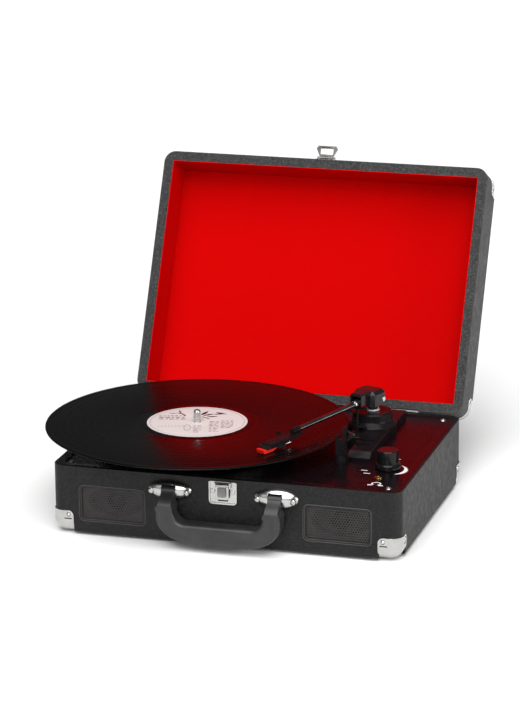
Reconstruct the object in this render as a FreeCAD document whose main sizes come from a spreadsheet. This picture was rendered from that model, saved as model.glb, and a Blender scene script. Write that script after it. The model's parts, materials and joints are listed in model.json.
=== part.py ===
"""Suitcase record player with a long-playing record on it, lid open and arm on the record.

Millimetres. The origin is the centre of the case's plan at table level: +X right, +Y to the
hinges, +Z up. The lid's pieces are drawn closed, then turned open about the hinge pins. The
arm's pieces are drawn along their own X axis from the arm's pivot, then turned over the record.
"""
import FreeCAD, Part
import math
import os
import re

import Sketcher
from FreeCAD import Placement, Rotation, Vector

SIZES = {
    # case
    "case_width": 350, "case_depth": 258, "foot_height": 2.5, "base_height": 67.5,
    "wall": 10, "case_corner": 12, "edge_round": 3, "fit_gap": 0.3,
    "guard_reach": 22, "guard_thick": 0.8, "guard_round": 5, "nail_radius": 2.2,
    "lid_gap": 0.3, "lid_height": 47, "lid_top": 3, "lid_open": 116, "lining": 1,
    "board_thick": 3, "block_side": 14, "cleat_x": 158, "cleat_y": 40,
    "foot_radius": 7, "foot_x": 140, "foot_y": 100,
    # lid hinges
    "hinge_x": 109, "hinge_length": 40, "hinge_y": 130.2, "hinge_z": 70.1,
    "knuckle_radius": 2.4, "pin_radius": 1.2, "leaf_thick": 0.9, "leaf_tall": 16,
    "middle_knuckle": 18,
    # deck
    "deck_top": 69.2, "deck_thick": 3, "screw_x": 159.5, "screw_y": 113,
    "screw_head": 3.2, "screw_shank": 1.5,
    # loudspeakers
    "grille_x": 113, "grille_z": 33.5, "grille_width": 67.5, "grille_tall": 36.5,
    "grille_corner": 5, "grille_set_back": 1.4, "grille_depth": 4, "sheet_metal": 0.8,
    "driver_depth": 18, "magnet_radius": 15, "magnet_depth": 9,
    # turntable
    "spindle_x": -59.5, "spindle_y": -21.5, "spindle_radius": 3.55, "spindle_top": 103.5,
    "undercut_low": 90.8, "undercut_radius": 3.15, "disc_bore": 3.6,
    "platter_radius": 96, "platter_low": 72.4, "platter_top": 86.5, "platter_web": 4,
    "mat_thick": 2, "rim_radius": 70, "record_radius": 150.8, "record_low": 88.6,
    "record_thick": 1.9, "groove_drop": 0.2, "label_radius": 50, "label_thick": 0.12,
    "pulley_away": 82, "pulley_radius": 5, "belt_low": 75, "belt_tall": 4,
    "belt_thick": 0.8, "motor_radius": 16, "motor_tall": 24,
    # arm support
    "arm_x": 99.5, "arm_y": 59, "arm_z": 105.5, "arm_turn": 21, "arm_dip": 1,
    "plinth_left": 99, "plinth_right": 121, "plinth_front": -35, "plinth_back": 113,
    "plinth_top": 77, "turret_radius": 20, "turret_flange": 24.6, "turret_top": 91.8,
    "rest_x": 94.6, "rest_y": -43.4, "rest_cradle": 92.8, "blade_left": 90,
    "blade_width": 10.4, "blade_front": -48.4, "blade_thick": 4, "clip_x": 98.4, "clip_z": 89.4,
    "cue_reach": 25.5, "cue_turn": 8.7, "cue_z": 80.6,
    "lift_radius": 24.4, "lift_width": 2.4, "lift_top": 100.4,
    # arm
    "housing_front": 18, "housing_back": -6, "housing_half": 13.5, "housing_low": -5.5,
    "housing_top": 10, "hood_reach": 29, "tube_radius": 2.6, "shell_start": 126,
    "sleeve_radius": 4.2, "shell_offset": 6, "stylus_drop": -12.04,
    # controls
    "knob_x": 144, "knob_y": -54, "knob_radius": 10.8, "knob_skirt": 12.3,
    "knob_low": 70.4, "knob_top": 88.5, "jack_x": 142, "jack_y": -83.5, "jack_bore": 1.8,
    "switch_x": 107.5, "stop_switch_y": 4.8, "speed_switch_y": -9.3, "slot_length": 15,
    "slot_width": 3.6, "slot_depth": 3,
    # handle and latch
    "bracket_x": 53.3, "bracket_z": 55.3, "bracket_width": 45, "bracket_tall": 20,
    "bracket_rise": 8, "loop_y": -133.6, "loop_z": 55.5, "loop_radius": 1.5,
    "handle_half": 62.5, "handle_inner": 44.7, "handle_low": 6.2, "handle_thick": 21.5,
    "handle_deep": 19, "handle_back": -132.4, "handle_shoulder": 43,
    "latch_width": 28, "latch_low": 45, "latch_top": 67.5, "lever_width": 13,
    "hasp_width": 23, "hasp_reach": 13, "hasp_z": 76, "hasp_y": -131.6,
}

doc = FreeCAD.newDocument("RecordPlayer")
sheet = doc.addObject("Spreadsheet::Sheet", "Sizes")
for row, (alias, value) in enumerate(SIZES.items(), start=1):
    sheet.set(f"A{row}", alias)
    sheet.set(f"B{row}", str(value))
    sheet.setAlias(f"B{row}", alias)
doc.recompute()


class Named:
    """The sheet's numbers by name, for code that needs the value itself."""

    def __getattr__(self, name):
        return float(SIZES[name])


S = Named()
NODES = []
HALF_WIDTH = "case_width/2"
HALF_DEPTH = "case_depth/2"
BASE_TOP = "foot_height + base_height"
LID_LOW = "foot_height + base_height + lid_gap"
UPRIGHT, ALONG_X, ALONG_Y = Vector(0, 0, 1), Vector(1, 0, 0), Vector(0, 1, 0)
LAYING = {"Z": Rotation(), "X": Rotation(ALONG_Y, 90), "Y": Rotation(ALONG_X, -90)}


# ---- building blocks -------------------------------------------------------------------------

def formula(text):
    """The same formula with the sheet's name in front of each of its aliases."""
    return re.sub(
        r"[A-Za-z_]\w*", lambda word: "Sizes." + word[0] if word[0] in SIZES else word[0], str(text)
    )


def bind(item, **formulas):
    for path, text in formulas.items():
        item.setExpression(path.replace("__", "."), formula(text))


def place(item, x, y, z):
    bind(item, Placement__Base__x=x, Placement__Base__y=y, Placement__Base__z=z)
    return item


def box(x, y, z, width, depth, height):
    """A block from its lowest corner."""
    item = doc.addObject("Part::Box", "Block")
    bind(item, Length=width, Width=depth, Height=height)
    return place(item, x, y, z)


def middle_box(x, y, z, width, depth, height):
    """A block centred on x and y, from z up."""
    return box(f"{x} - ({width})/2", f"{y} - ({depth})/2", z, width, depth, height)


def cylinder(x, y, z, radius, height, along="Z", sector=360):
    item = doc.addObject("Part::Cylinder", "Cylinder")
    bind(item, Radius=radius, Height=height, Angle=sector)
    item.Placement = Placement(Vector(), LAYING[along])
    return place(item, x, y, z)


def cone(x, y, z, low_radius, high_radius, height, along="Z"):
    item = doc.addObject("Part::Cone", "Cone")
    bind(item, Radius1=low_radius, Radius2=high_radius, Height=height)
    item.Placement = Placement(Vector(), LAYING[along])
    return place(item, x, y, z)


def ball(x, y, z, radius):
    item = doc.addObject("Part::Sphere", "Ball")
    bind(item, Radius=radius)
    return place(item, x, y, z)


def fuse(*items):
    item = doc.addObject("Part::MultiFuse", "Fusion")
    item.Shapes = list(items)
    return item


def group(*items):
    """Separate solids that share one node."""
    item = doc.addObject("Part::Compound", "Group")
    item.Links = list(items)
    return item


def cut(base, *tools):
    item = doc.addObject("Part::Cut", "Cut")
    item.Base = base
    item.Tool = tools[0] if len(tools) == 1 else fuse(*tools)
    return item


def common(first, second):
    item = doc.addObject("Part::Common", "Common")
    item.Base, item.Tool = first, second
    return item


def edge_blend(kind, item, size, chosen):
    """A fillet or chamfer on the edges that a test picks."""
    doc.recompute()
    result = doc.addObject("Part::" + kind, kind)
    result.Base = item
    edges = enumerate(item.Shape.Edges, start=1)
    result.Edges = [(number, size, size) for number, edge in edges if chosen(edge)]
    return result


def runs(direction):
    return lambda edge: abs(edge.tangentAt(edge.FirstParameter).dot(direction)) > 0.99


def at_height(low, high=None):
    high = low if high is None else high
    return lambda edge: edge.BoundBox.ZMin > low - 0.01 and edge.BoundBox.ZMax < high + 0.01


def soft_box(x, y, z, width, depth, height, corner, direction=UPRIGHT):
    """A block with the four edges along one direction rounded."""
    return edge_blend("Fillet", box(x, y, z, width, depth, height), corner, runs(direction))


def solid_feature(shape):
    """A plain feature for a shape with curves that the primitives don't have."""
    item = doc.addObject("Part::Feature", "Shape")
    item.Shape = shape
    return item


def origin_plane(body, role):
    return next(item for item in body.Origin.OriginFeatures if item.Role == role)


def new_sketch(body, role, offset):
    sketch = body.newObject("Sketcher::SketchObject", "Outline")
    sketch.AttachmentSupport = (origin_plane(body, role), [""])
    sketch.MapMode = "FlatFace"
    bind(sketch, AttachmentOffset__Base__z=offset)
    return sketch


def hold(sketch, kind, *where, text):
    index = sketch.addConstraint(Sketcher.Constraint(kind, *where))
    sketch.setExpression(f"Constraints[{index}]", formula(text))


def outline(body, role, corners, offset=0):
    """A closed sketch of straight lines, with both coordinates of each corner held by the sheet."""
    sketch = new_sketch(body, role, offset)
    count = len(corners)
    turns = [2 * math.pi * index / count for index in range(count)]
    starts = [Vector(100 * math.cos(turn), 100 * math.sin(turn), 0) for turn in turns]
    for index, start in enumerate(starts):
        sketch.addGeometry(Part.LineSegment(start, starts[(index + 1) % count]))
    for index in range(count):
        sketch.addConstraint(Sketcher.Constraint("Coincident", index, 2, (index + 1) % count, 1))
    for index, (across, up) in enumerate(corners):
        hold(sketch, "DistanceX", index, 1, starts[index].x, text=across)
        hold(sketch, "DistanceY", index, 1, starts[index].y, text=up)
    return sketch


def holes(body, role, circles, offset=0):
    """A sketch of circles, each given by its centre and radius."""
    sketch = new_sketch(body, role, offset)
    for index, (across, up, radius) in enumerate(circles):
        sketch.addGeometry(Part.Circle(Vector(20.0 * index, 0, 0), UPRIGHT, 2))
        hold(sketch, "DistanceX", index, 3, 20.0 * index, text=across)
        hold(sketch, "DistanceY", index, 3, 0.0, text=up)
        hold(sketch, "Radius", index, 2.0, text=radius)
    return sketch


def new_body():
    return doc.addObject("PartDesign::Body", "Body")


def pad(body, sketch, length):
    item = body.newObject("PartDesign::Pad", "Pad")
    item.Profile = sketch
    bind(item, Length=length)
    return item


def pocket(body, sketch, depth):
    """Cuts both ways from the sketch, so it can't point away from the solid."""
    doc.recompute()
    before = body.Shape.Volume
    item = body.newObject("PartDesign::Pocket", "Pocket")
    item.Profile = sketch
    item.Midplane = True
    bind(item, Length=f"2*({depth})")
    doc.recompute()
    if body.Shape.Volume > before - 0.01:
        raise RuntimeError("a pocket cut nothing")
    return item


def turned(corners, angle=360):
    """A body of revolution: radius and height of each corner of its half section."""
    body = new_body()
    sketch = outline(body, "XZ_Plane", corners)
    item = body.newObject("PartDesign::Revolution", "Revolution")
    item.Profile = sketch
    item.ReferenceAxis = (sketch, ["V_Axis"])
    bind(item, Angle=angle)
    return body


def round_edges(body, size, chosen, kind="Fillet"):
    """A PartDesign fillet or chamfer on the tip's edges that a test picks."""
    doc.recompute()
    tip = body.Tip
    edges = enumerate(tip.Shape.Edges, start=1)
    names = [f"Edge{number}" for number, edge in edges if chosen(edge)]
    item = body.newObject("PartDesign::" + kind, kind)
    item.Base = (tip, names)
    if kind == "Fillet":
        bind(item, Radius=size)
    else:
        bind(item, Size=size)
    return item


def node(name, item, placement=None):
    """Names a finished piece; its label is its file's name."""
    item.Label = name
    if placement is not None:
        item.Placement = placement.multiply(item.Placement)
    NODES.append(item)
    return item


def mirror_x(make):
    """The same piece at the left and at the right, from a function of the side's sign."""
    return [make(side) for side in (-1, 1)]


def four_corners(make):
    return [make(side, end) for side in (-1, 1) for end in (-1, 1)]


# ---- case ------------------------------------------------------------------------------------

def case_block(low, height, end_z, end_round, grow=0):
    """The case's plan as a block, with its upright edges and those of one end rounded."""
    plain = box(
        f"-{HALF_WIDTH} - {grow}", f"-{HALF_DEPTH} - {grow}", low,
        f"case_width + 2*{grow}", f"case_depth + 2*{grow}", height,
    )
    corner = S.case_corner + grow
    if end_round == corner:
        at_end = at_height(end_z)
        return edge_blend(
            "Fillet", plain, corner, lambda edge: at_end(edge) or runs(UPRIGHT)(edge)
        )
    sides = edge_blend("Fillet", plain, corner, runs(UPRIGHT))
    return edge_blend("Fillet", sides, end_round, at_height(end_z))


def case_form(low, height, end_z, zone_low):
    """Small-radius end edges, with ball-shaped corners under the corner guards."""
    zone = "guard_reach"
    inner_width, inner_depth = f"case_width - 2*{zone}", f"case_depth - 2*{zone}"
    keep = fuse(
        case_block(low, height, end_z, S.case_corner),
        middle_box(0, 0, low, inner_width, "case_depth + 2", height),
        middle_box(0, 0, low, "case_width + 2", inner_depth, height),
        middle_box(0, 0, zone_low, "case_width + 2", "case_depth + 2", f"({height}) - {zone}"),
    )
    return common(case_block(low, height, end_z, S.edge_round), keep)


def cavity(low, height):
    width, depth = "case_width - 2*wall", "case_depth - 2*wall"
    return middle_box(0, 0, low, width, depth, height)


def hinge_grooves():
    """Room for the knuckles in the meeting edges of the case and the lid."""
    length = "hinge_length + 1"
    return mirror_x(lambda side: cylinder(
        f"{side}*hinge_x - ({length})/2", "hinge_y", "hinge_z",
        "knuckle_radius + fit_gap", length, "X",
    ))


def guard_zone(side, end, zone_low, inner_z):
    """The space one corner guard fills, rounded where its three legs end."""
    reach = "guard_reach + guard_thick"
    zone = box(
        f"{side}*({HALF_WIDTH} + guard_thick) - ({1 + side})/2*({reach})",
        f"{end}*({HALF_DEPTH} + guard_thick) - ({1 + end})/2*({reach})",
        zone_low, reach, reach, reach,
    )
    inner = Vector(
        side * (S.case_width / 2 - S.guard_reach), end * (S.case_depth / 2 - S.guard_reach), inner_z
    )
    return edge_blend("Fillet", zone, S.guard_round, lambda edge: any(
        vertex.Point.distanceToPoint(inner) < 0.01 for vertex in edge.Vertexes
    ))


def corner_guards(low, height, end_z, zone_low, inner_z):
    """Pressed steel caps over the four corners at one end."""
    skin = cut(
        case_block(f"{low}", height, end_z, S.case_corner + S.guard_thick, S.guard_thick),
        case_block(*GUARDED_CORE[end_z]),
    )
    zones = four_corners(lambda side, end: guard_zone(side, end, zone_low, inner_z))
    return common(skin, fuse(*zones))


def nails(z):
    """Domed nail heads, one near the end of each leg of each corner guard."""
    away = "(guard_reach - 5)"
    skin = "guard_thick"
    fronts = four_corners(lambda side, end: ball(
        f"{side}*({HALF_WIDTH} - {away})", f"{end}*({HALF_DEPTH} + {skin} - nail_radius*0.45)",
        z, "nail_radius",
    ))
    sides = four_corners(lambda side, end: ball(
        f"{side}*({HALF_WIDTH} + {skin} - nail_radius*0.45)", f"{end}*({HALF_DEPTH} - {away})",
        z, "nail_radius",
    ))
    inside = middle_box(
        0, 0, f"{z} - 6", f"case_width + 2*{skin}", f"case_depth + 2*{skin}", 12
    )
    return cut(group(*fronts, *sides), inside)


BOTTOM = S.foot_height
TOP = S.foot_height + S.base_height + S.lid_gap + S.lid_height
GUARDED_CORE = {
    BOTTOM - S.guard_thick: ("foot_height", "base_height", BOTTOM, S.case_corner),
    TOP + S.guard_thick: (LID_LOW, "lid_height", TOP, S.case_corner),
}

grille_holes = mirror_x(lambda side: soft_box(
    f"{side}*grille_x - grille_width/2", f"-{HALF_DEPTH} - 1", "grille_z - grille_tall/2",
    "grille_width", "wall + 2", "grille_tall", S.grille_corner, ALONG_Y,
))
socket_hole = middle_box(-60, f"{HALF_DEPTH} - wall/2", 21, 82, "wall + 2", 24)
node("base_frame", cut(
    case_form("foot_height", "base_height", BOTTOM, "foot_height + guard_reach"),
    cavity("foot_height - 1", "base_height + 2"), *grille_holes, socket_hole, *hinge_grooves(),
))

board_low = "foot_height + 0.2"
board_top = "foot_height + 0.2 + board_thick"
board = soft_box(
    f"-{HALF_WIDTH} + wall + fit_gap", f"-{HALF_DEPTH} + wall + fit_gap", board_low,
    "case_width - 2*wall - 2*fit_gap", "case_depth - 2*wall - 2*fit_gap", "board_thick", 3,
)
node("base_bottom", cut(board, *four_corners(lambda side, end: cylinder(
    f"{side}*cleat_x", f"{end}*cleat_y", 0, "screw_shank + 0.2", 20
))))
blocks = four_corners(lambda side, end: cut(
    box(
        f"{side}*({HALF_WIDTH} - wall) - ({1 + side})/2*block_side",
        f"{end}*({HALF_DEPTH} - wall) - ({1 + end})/2*block_side",
        board_top, "block_side", "block_side", f"deck_top - deck_thick - ({board_top})",
    ),
    cylinder(f"{side}*screw_x", f"{end}*screw_y", 40, "screw_shank + 0.1", 40),
))
cleats = four_corners(lambda side, end: cut(
    middle_box(f"{side}*cleat_x", f"{end}*cleat_y", board_top, "block_side", "block_side", 14),
    cylinder(f"{side}*cleat_x", f"{end}*cleat_y", 0, "screw_shank + 0.1", 16),
))
node("corner_blocks", group(*blocks, *cleats))
node("rubber_feet", group(*four_corners(lambda side, end: cone(
    f"{side}*foot_x", f"{end}*foot_y", 0, "foot_radius - 1", "foot_radius", board_low,
))))


def wood_screw(x, y, head_low, length, down=1):
    """A domed head with a cross recess on a plain shank; down is -1 for one driven upwards."""
    head = common(
        cylinder(x, y, f"{head_low} - {0 if down > 0 else 1.4}", "screw_head", 1.4),
        ball(x, y, f"{head_low} - {down}*3", "screw_head*1.37"),
    )
    shank_low = f"{head_low} - {length if down > 0 else 0}"
    slot_low = f"{head_low} + {0.7 if down > 0 else -2.7}"
    slots = [middle_box(x, y, slot_low, *plan, 2) for plan in ((4, 0.8), (0.8, 4))]
    return cut(fuse(head, cylinder(x, y, shank_low, "screw_shank", length)), *slots)


def case_screws(side, end):
    """One through the deck into its corner block, one up through the bottom into its cleat."""
    return group(
        wood_screw(f"{side}*screw_x", f"{end}*screw_y", "deck_top", 16),
        wood_screw(f"{side}*cleat_x", f"{end}*cleat_y", board_low, 12, down=-1),
    )


node("deck_screws", group(*four_corners(case_screws)))

guard_low = "foot_height - guard_thick"
node("base_corner_guards", corner_guards(
    guard_low, "base_height + guard_thick", BOTTOM - S.guard_thick, guard_low,
    BOTTOM + S.guard_reach,
))
node("base_guard_nails", nails("foot_height + guard_reach - 4"))


# ---- deck ------------------------------------------------------------------------------------

def motor_spot():
    turn = math.radians(135)
    return (
        S.spindle_x + S.pulley_away * math.cos(turn),
        S.spindle_y + S.pulley_away * math.sin(turn),
    )


MOTOR_X, MOTOR_Y = motor_spot()


def deck_plate():
    body = new_body()
    half, deep = f"{HALF_WIDTH} - wall - fit_gap", f"{HALF_DEPTH} - wall - fit_gap"
    corners = [(f"-({half})", f"-({deep})"), (half, f"-({deep})"), (half, deep), (f"-({half})", deep)]
    sketch = outline(body, "XY_Plane", corners, "deck_top - deck_thick")
    pad(body, sketch, "deck_thick")
    round_edges(body, 3, runs(UPRIGHT))
    round_edges(body, 0.5, at_height(S.deck_top))
    circles = four_corners(
        lambda side, end: (f"{side}*screw_x", f"{end}*screw_y", "screw_shank + 0.2")
    )
    circles += [
        ("spindle_x", "spindle_y", "spindle_radius + 0.05"),
        (MOTOR_X, MOTOR_Y, 8),
        ("knob_x", "knob_y", 3.6),
        ("jack_x", "jack_y", 3.4),
        ("arm_x", "arm_y", 6),
    ]
    pocket(body, holes(body, "XY_Plane", circles, "deck_top"), 10)
    return body


node("deck_plate", deck_plate())


# ---- loudspeakers ----------------------------------------------------------------------------

def oval_tube(x, front_y, z, half_width, half_height, depth):
    """A solid oval column standing back from front_y."""
    edge = Part.Ellipse(Vector(0, 0, 0), half_width, half_height).toShape()
    face = Part.Face(Part.Wire([edge]))
    face.Placement = Placement(Vector(x, front_y, z), Rotation(ALONG_X, 90))
    return face.extrude(Vector(0, depth, 0))


INSIDE_Y = -S.case_depth / 2 + S.wall
FLANGE = 1.5


def speaker_basket(side):
    """A flange behind the wall, a stepped oval frame and the magnet."""
    x, z = side * S.grille_x, S.grille_z
    flange = Part.makeBox(75, FLANGE, 48, Vector(x - 37.5, INSIDE_Y, z - 24))
    flange = flange.cut(oval_tube(x, INSIDE_Y - 1, z, 28, 15, FLANGE + 2))
    frame_y = INSIDE_Y + FLANGE
    outer = oval_tube(x, frame_y, z, 31, 18, S.driver_depth)
    inner = oval_tube(x, frame_y - 1, z, 29.8, 16.8, S.driver_depth - 0.4)
    magnet = Part.makeCylinder(
        S.magnet_radius, S.magnet_depth, Vector(x, frame_y + S.driver_depth, z), ALONG_Y
    )
    return solid_feature(flange.fuse([outer.cut(inner), magnet]))


def speaker_cone(side):
    """The paper cone with a wide rolled edge and a dust cap."""
    x, z = side * S.grille_x, S.grille_z
    front_y = INSIDE_Y + FLANGE + 0.4
    edge = oval_tube(x, front_y, z, 29.4, 16.4, 1.2)
    edge = edge.cut(oval_tube(x, front_y - 1, z, 24, 13, 4))
    paper = oval_tube(x, front_y + 1.2, z, 25, 14, 9)
    bowl = Part.makeCone(10, 6.5, 8.2, Vector(x, front_y + 1, z), ALONG_Y)
    cap = Part.makeSphere(9, Vector(x, front_y + 13.6, z))
    return solid_feature(edge.fuse(paper.cut([
        bowl, oval_tube(x, front_y, z, 24, 13, 2.4),
    ])).fuse(cap.common(Part.makeCylinder(6.4, 8, Vector(x, front_y + 2.6, z), ALONG_Y))))


def speaker_grille(side):
    """A shallow pressed tray; its face is the perforated sheet."""
    front = f"-{HALF_DEPTH} + grille_set_back"
    x, z = f"{side}*grille_x", "grille_z"
    outer = soft_box(
        f"{x} - grille_width/2 + 0.1", front, f"{z} - grille_tall/2 + 0.1",
        "grille_width - 0.2", "grille_depth", "grille_tall - 0.2", S.grille_corner, ALONG_Y,
    )
    inner = soft_box(
        f"{x} - grille_width/2 + 1.3", f"{front} + sheet_metal", f"{z} - grille_tall/2 + 1.3",
        "grille_width - 2.6", "grille_depth", "grille_tall - 2.6", S.grille_corner - 1, ALONG_Y,
    )
    return cut(outer, inner)


node("speaker_grille_left", speaker_grille(-1))
node("speaker_grille_right", speaker_grille(1))
node("speaker_baskets", group(*mirror_x(speaker_basket)))
node("speaker_cones", group(*mirror_x(speaker_cone)))


# ---- sockets and electronics -----------------------------------------------------------------

SOCKET_X = -60
SOCKET_Z = 33
RCA_X = (SOCKET_X - 22, SOCKET_X - 6)
DC_X = SOCKET_X + 24
panel_y = f"{HALF_DEPTH} - 1.5"
node("rear_panel", cut(
    middle_box(SOCKET_X, f"{HALF_DEPTH} - 0.75", SOCKET_Z - 11.8, 81.6, 1.5, 23.6),
    *[cylinder(x, f"{panel_y} - 1", SOCKET_Z, 4.1, 4, "Y") for x in RCA_X],
    cylinder(DC_X, f"{panel_y} - 1", SOCKET_Z, 4.6, 4, "Y"),
))
node("rca_sockets", group(*[
    cut(
        fuse(
            cylinder(x, f"{panel_y} - 8", SOCKET_Z, 4, 17, "Y"),
            cylinder(x, HALF_DEPTH, SOCKET_Z, 5.2, 1, "Y"),
        ),
        cylinder(x, f"{HALF_DEPTH} - 2", SOCKET_Z, 1.7, 12, "Y"),
    ) for x in RCA_X
]))
node("dc_socket", cut(
    fuse(
        cylinder(DC_X, f"{panel_y} - 10", SOCKET_Z, 4.5, 11.5, "Y"),
        cylinder(DC_X, HALF_DEPTH, SOCKET_Z, 5.6, 1.2, "Y"),
    ),
    cut(
        cylinder(DC_X, f"{HALF_DEPTH} - 8", SOCKET_Z, 2.85, 12, "Y"),
        cylinder(DC_X, f"{HALF_DEPTH} - 9", SOCKET_Z, 1, 8, "Y"),
    ),
))
node("headphone_jack", cut(
    fuse(
        middle_box("jack_x", "jack_y", "deck_top - deck_thick - 14", 12, 10, 14),
        cylinder("jack_x", "jack_y", "deck_top - deck_thick", 3.3, "deck_thick"),
        cylinder("jack_x", "jack_y", "deck_top", 3.9, 0.9),
    ),
    cylinder("jack_x", "jack_y", "deck_top - deck_thick - 12", "jack_bore", 20),
))


def main_board():
    """The amplifier board on four pillars, with its larger parts."""
    x, y, low = 60, 50, S.foot_height + 0.2 + S.board_thick
    pieces = [middle_box(x, y, low + 6, 96, 70, 1.6)]
    pieces += [
        cylinder(x + 42 * side, y + 29 * end, low, 3, 6) for side in (-1, 1) for end in (-1, 1)
    ]
    pieces += [cylinder(x + 14 * step, y + 20, low + 7.6, 4, 11) for step in (-2, -1, 0)]
    pieces += [middle_box(x + 22, y - 8, low + 7.6, 18, 18, 2.2)]
    pieces += [middle_box(x - 20, y - 16, low + 7.6, 24, 6, 16)]
    return fuse(*pieces)


node("main_board", main_board())
node("volume_pot", fuse(
    middle_box("knob_x", "knob_y", "deck_top - deck_thick - 9", 17, 17, 9),
    cylinder("knob_x", "knob_y", "deck_top - deck_thick", 3.5, "deck_thick + 0.2"),
    cylinder("knob_x", "knob_y", "deck_top", 2.95, 14),
))


# ---- turntable -------------------------------------------------------------------------------

def at_spindle(body):
    return place(body, "spindle_x", "spindle_y", 0)


node("spindle", at_spindle(turned([
    (0, 50), (9, 50), (9, "deck_top - deck_thick"), ("spindle_radius", "deck_top - deck_thick"),
    ("spindle_radius", "deck_top"), (10, "deck_top"), (10, "platter_low - 0.6"),
    ("spindle_radius", "platter_low - 0.6"), ("spindle_radius", "undercut_low"),
    ("undercut_radius", "undercut_low"), ("undercut_radius", "undercut_low + 0.5"),
    ("spindle_radius", "undercut_low + 0.5"), ("spindle_radius", "spindle_top - 2.4"),
    ("spindle_radius - 0.7", "spindle_top - 0.9"), ("spindle_radius - 2", "spindle_top - 0.15"),
    (0, "spindle_top"),
])))
web_low = "platter_top - platter_web"
node("platter", at_spindle(turned([
    ("disc_bore", "platter_low - 0.2"), (12, "platter_low - 0.2"), (12, web_low),
    ("rim_radius - 3", web_low), ("rim_radius - 3", "belt_low - 1.5"),
    ("rim_radius", "belt_low - 1.5"), ("rim_radius", web_low),
    ("platter_radius - 4", web_low), ("platter_radius - 3", "platter_low"),
    ("platter_radius - 1", "platter_low"), ("platter_radius", "platter_low + 1"),
    ("platter_radius", "platter_top - 1"), ("platter_radius - 1", "platter_top"),
    (9, "platter_top"), (9, "platter_top - 2.4"), ("disc_bore", "platter_top - 2.4"),
])))
node("platter_mat", at_spindle(turned([
    (9, "platter_top"), ("platter_radius - 1.5", "platter_top"),
    ("platter_radius - 1.5", "platter_top + mat_thick - 0.5"),
    ("platter_radius - 2", "platter_top + mat_thick"), (9, "platter_top + mat_thick"),
])))
node("platter_clip", cut(
    cylinder("spindle_x", "spindle_y", "platter_top - 2", 7.5, 0.8),
    cylinder("spindle_x", "spindle_y", "platter_top - 3", "spindle_radius", 4),
    middle_box("spindle_x + 6", "spindle_y", "platter_top - 3", 8, 4, 4),
))
record_top = "record_low + record_thick"
land = "label_radius + 2.5"
node("record", at_spindle(turned([
    ("disc_bore", "record_low"), (land, "record_low"),
    (f"{land} + 1.5", "record_low + groove_drop"),
    ("record_radius - 6", "record_low + groove_drop"), ("record_radius - 2.5", "record_low"),
    ("record_radius - 0.6", "record_low + 0.25"), ("record_radius", "record_low + 0.95"),
    ("record_radius - 0.6", f"{record_top} - 0.25"), ("record_radius - 2.5", record_top),
    ("record_radius - 6", f"{record_top} - groove_drop"),
    (f"{land} + 1.5", f"{record_top} - groove_drop"), (land, record_top),
    ("disc_bore", record_top),
])))
node("record_label", at_spindle(turned([
    ("disc_bore", record_top), ("label_radius", record_top),
    ("label_radius", f"{record_top} + label_thick"),
    ("disc_bore", f"{record_top} + label_thick"),
])))

shaft_radius = 1.0
node("motor", fuse(
    cut(
        cylinder(MOTOR_X, MOTOR_Y, 38, "motor_radius", "motor_tall"),
        cylinder(MOTOR_X, MOTOR_Y, 36, shaft_radius + 0.06, "motor_tall + 6"),
    ),
    *[
        cut(
            cylinder(MOTOR_X + 19 * side, MOTOR_Y, "deck_top - deck_thick - 4.2", 4, 4.2),
            cylinder(MOTOR_X + 19 * side, MOTOR_Y, "deck_top - deck_thick - 6", 1.4, 8),
        ) for side in (-1, 1)
    ],
    cut(
        middle_box(MOTOR_X, MOTOR_Y, 60.5, 48, 12, 1.5),
        cylinder(MOTOR_X, MOTOR_Y, 58, 9, 6),
    ),
))
node("motor_pulley", fuse(
    cylinder(MOTOR_X, MOTOR_Y, 40, shaft_radius, 42),
    cylinder(MOTOR_X, MOTOR_Y, "belt_low - 1", "pulley_radius", "belt_tall + 2"),
    cylinder(MOTOR_X, MOTOR_Y, "belt_low - 2", "pulley_radius + 1", 1),
))


def round_pair(large, small, away):
    """The face inside a band round two circles, the small one out along +X."""
    lean = math.acos((large - small) / away)
    ends = []
    for side in (1, -1):
        direction = Vector(math.cos(lean), side * math.sin(lean), 0)
        ends.append((direction * large, Vector(away, 0, 0) + direction * small))
    (big_up, small_up), (big_down, small_down) = ends
    outline_edges = [
        Part.makeLine(big_up, small_up),
        Part.Arc(small_up, Vector(away + small, 0, 0), small_down).toShape(),
        Part.makeLine(small_down, big_down),
        Part.Arc(big_down, Vector(-large, 0, 0), big_up).toShape(),
    ]
    return Part.Face(Part.Wire(outline_edges))


def drive_belt():
    gap = S.fit_gap
    inner = round_pair(S.rim_radius + gap, S.pulley_radius + gap, S.pulley_away)
    out = gap + S.belt_thick
    outer = round_pair(S.rim_radius + out, S.pulley_radius + out, S.pulley_away)
    band = outer.cut(inner).extrude(Vector(0, 0, S.belt_tall))
    band.Placement = Placement(
        Vector(S.spindle_x, S.spindle_y, S.belt_low), Rotation(UPRIGHT, 135)
    )
    return solid_feature(band)


node("drive_belt", drive_belt())


# ---- arm support -----------------------------------------------------------------------------

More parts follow.
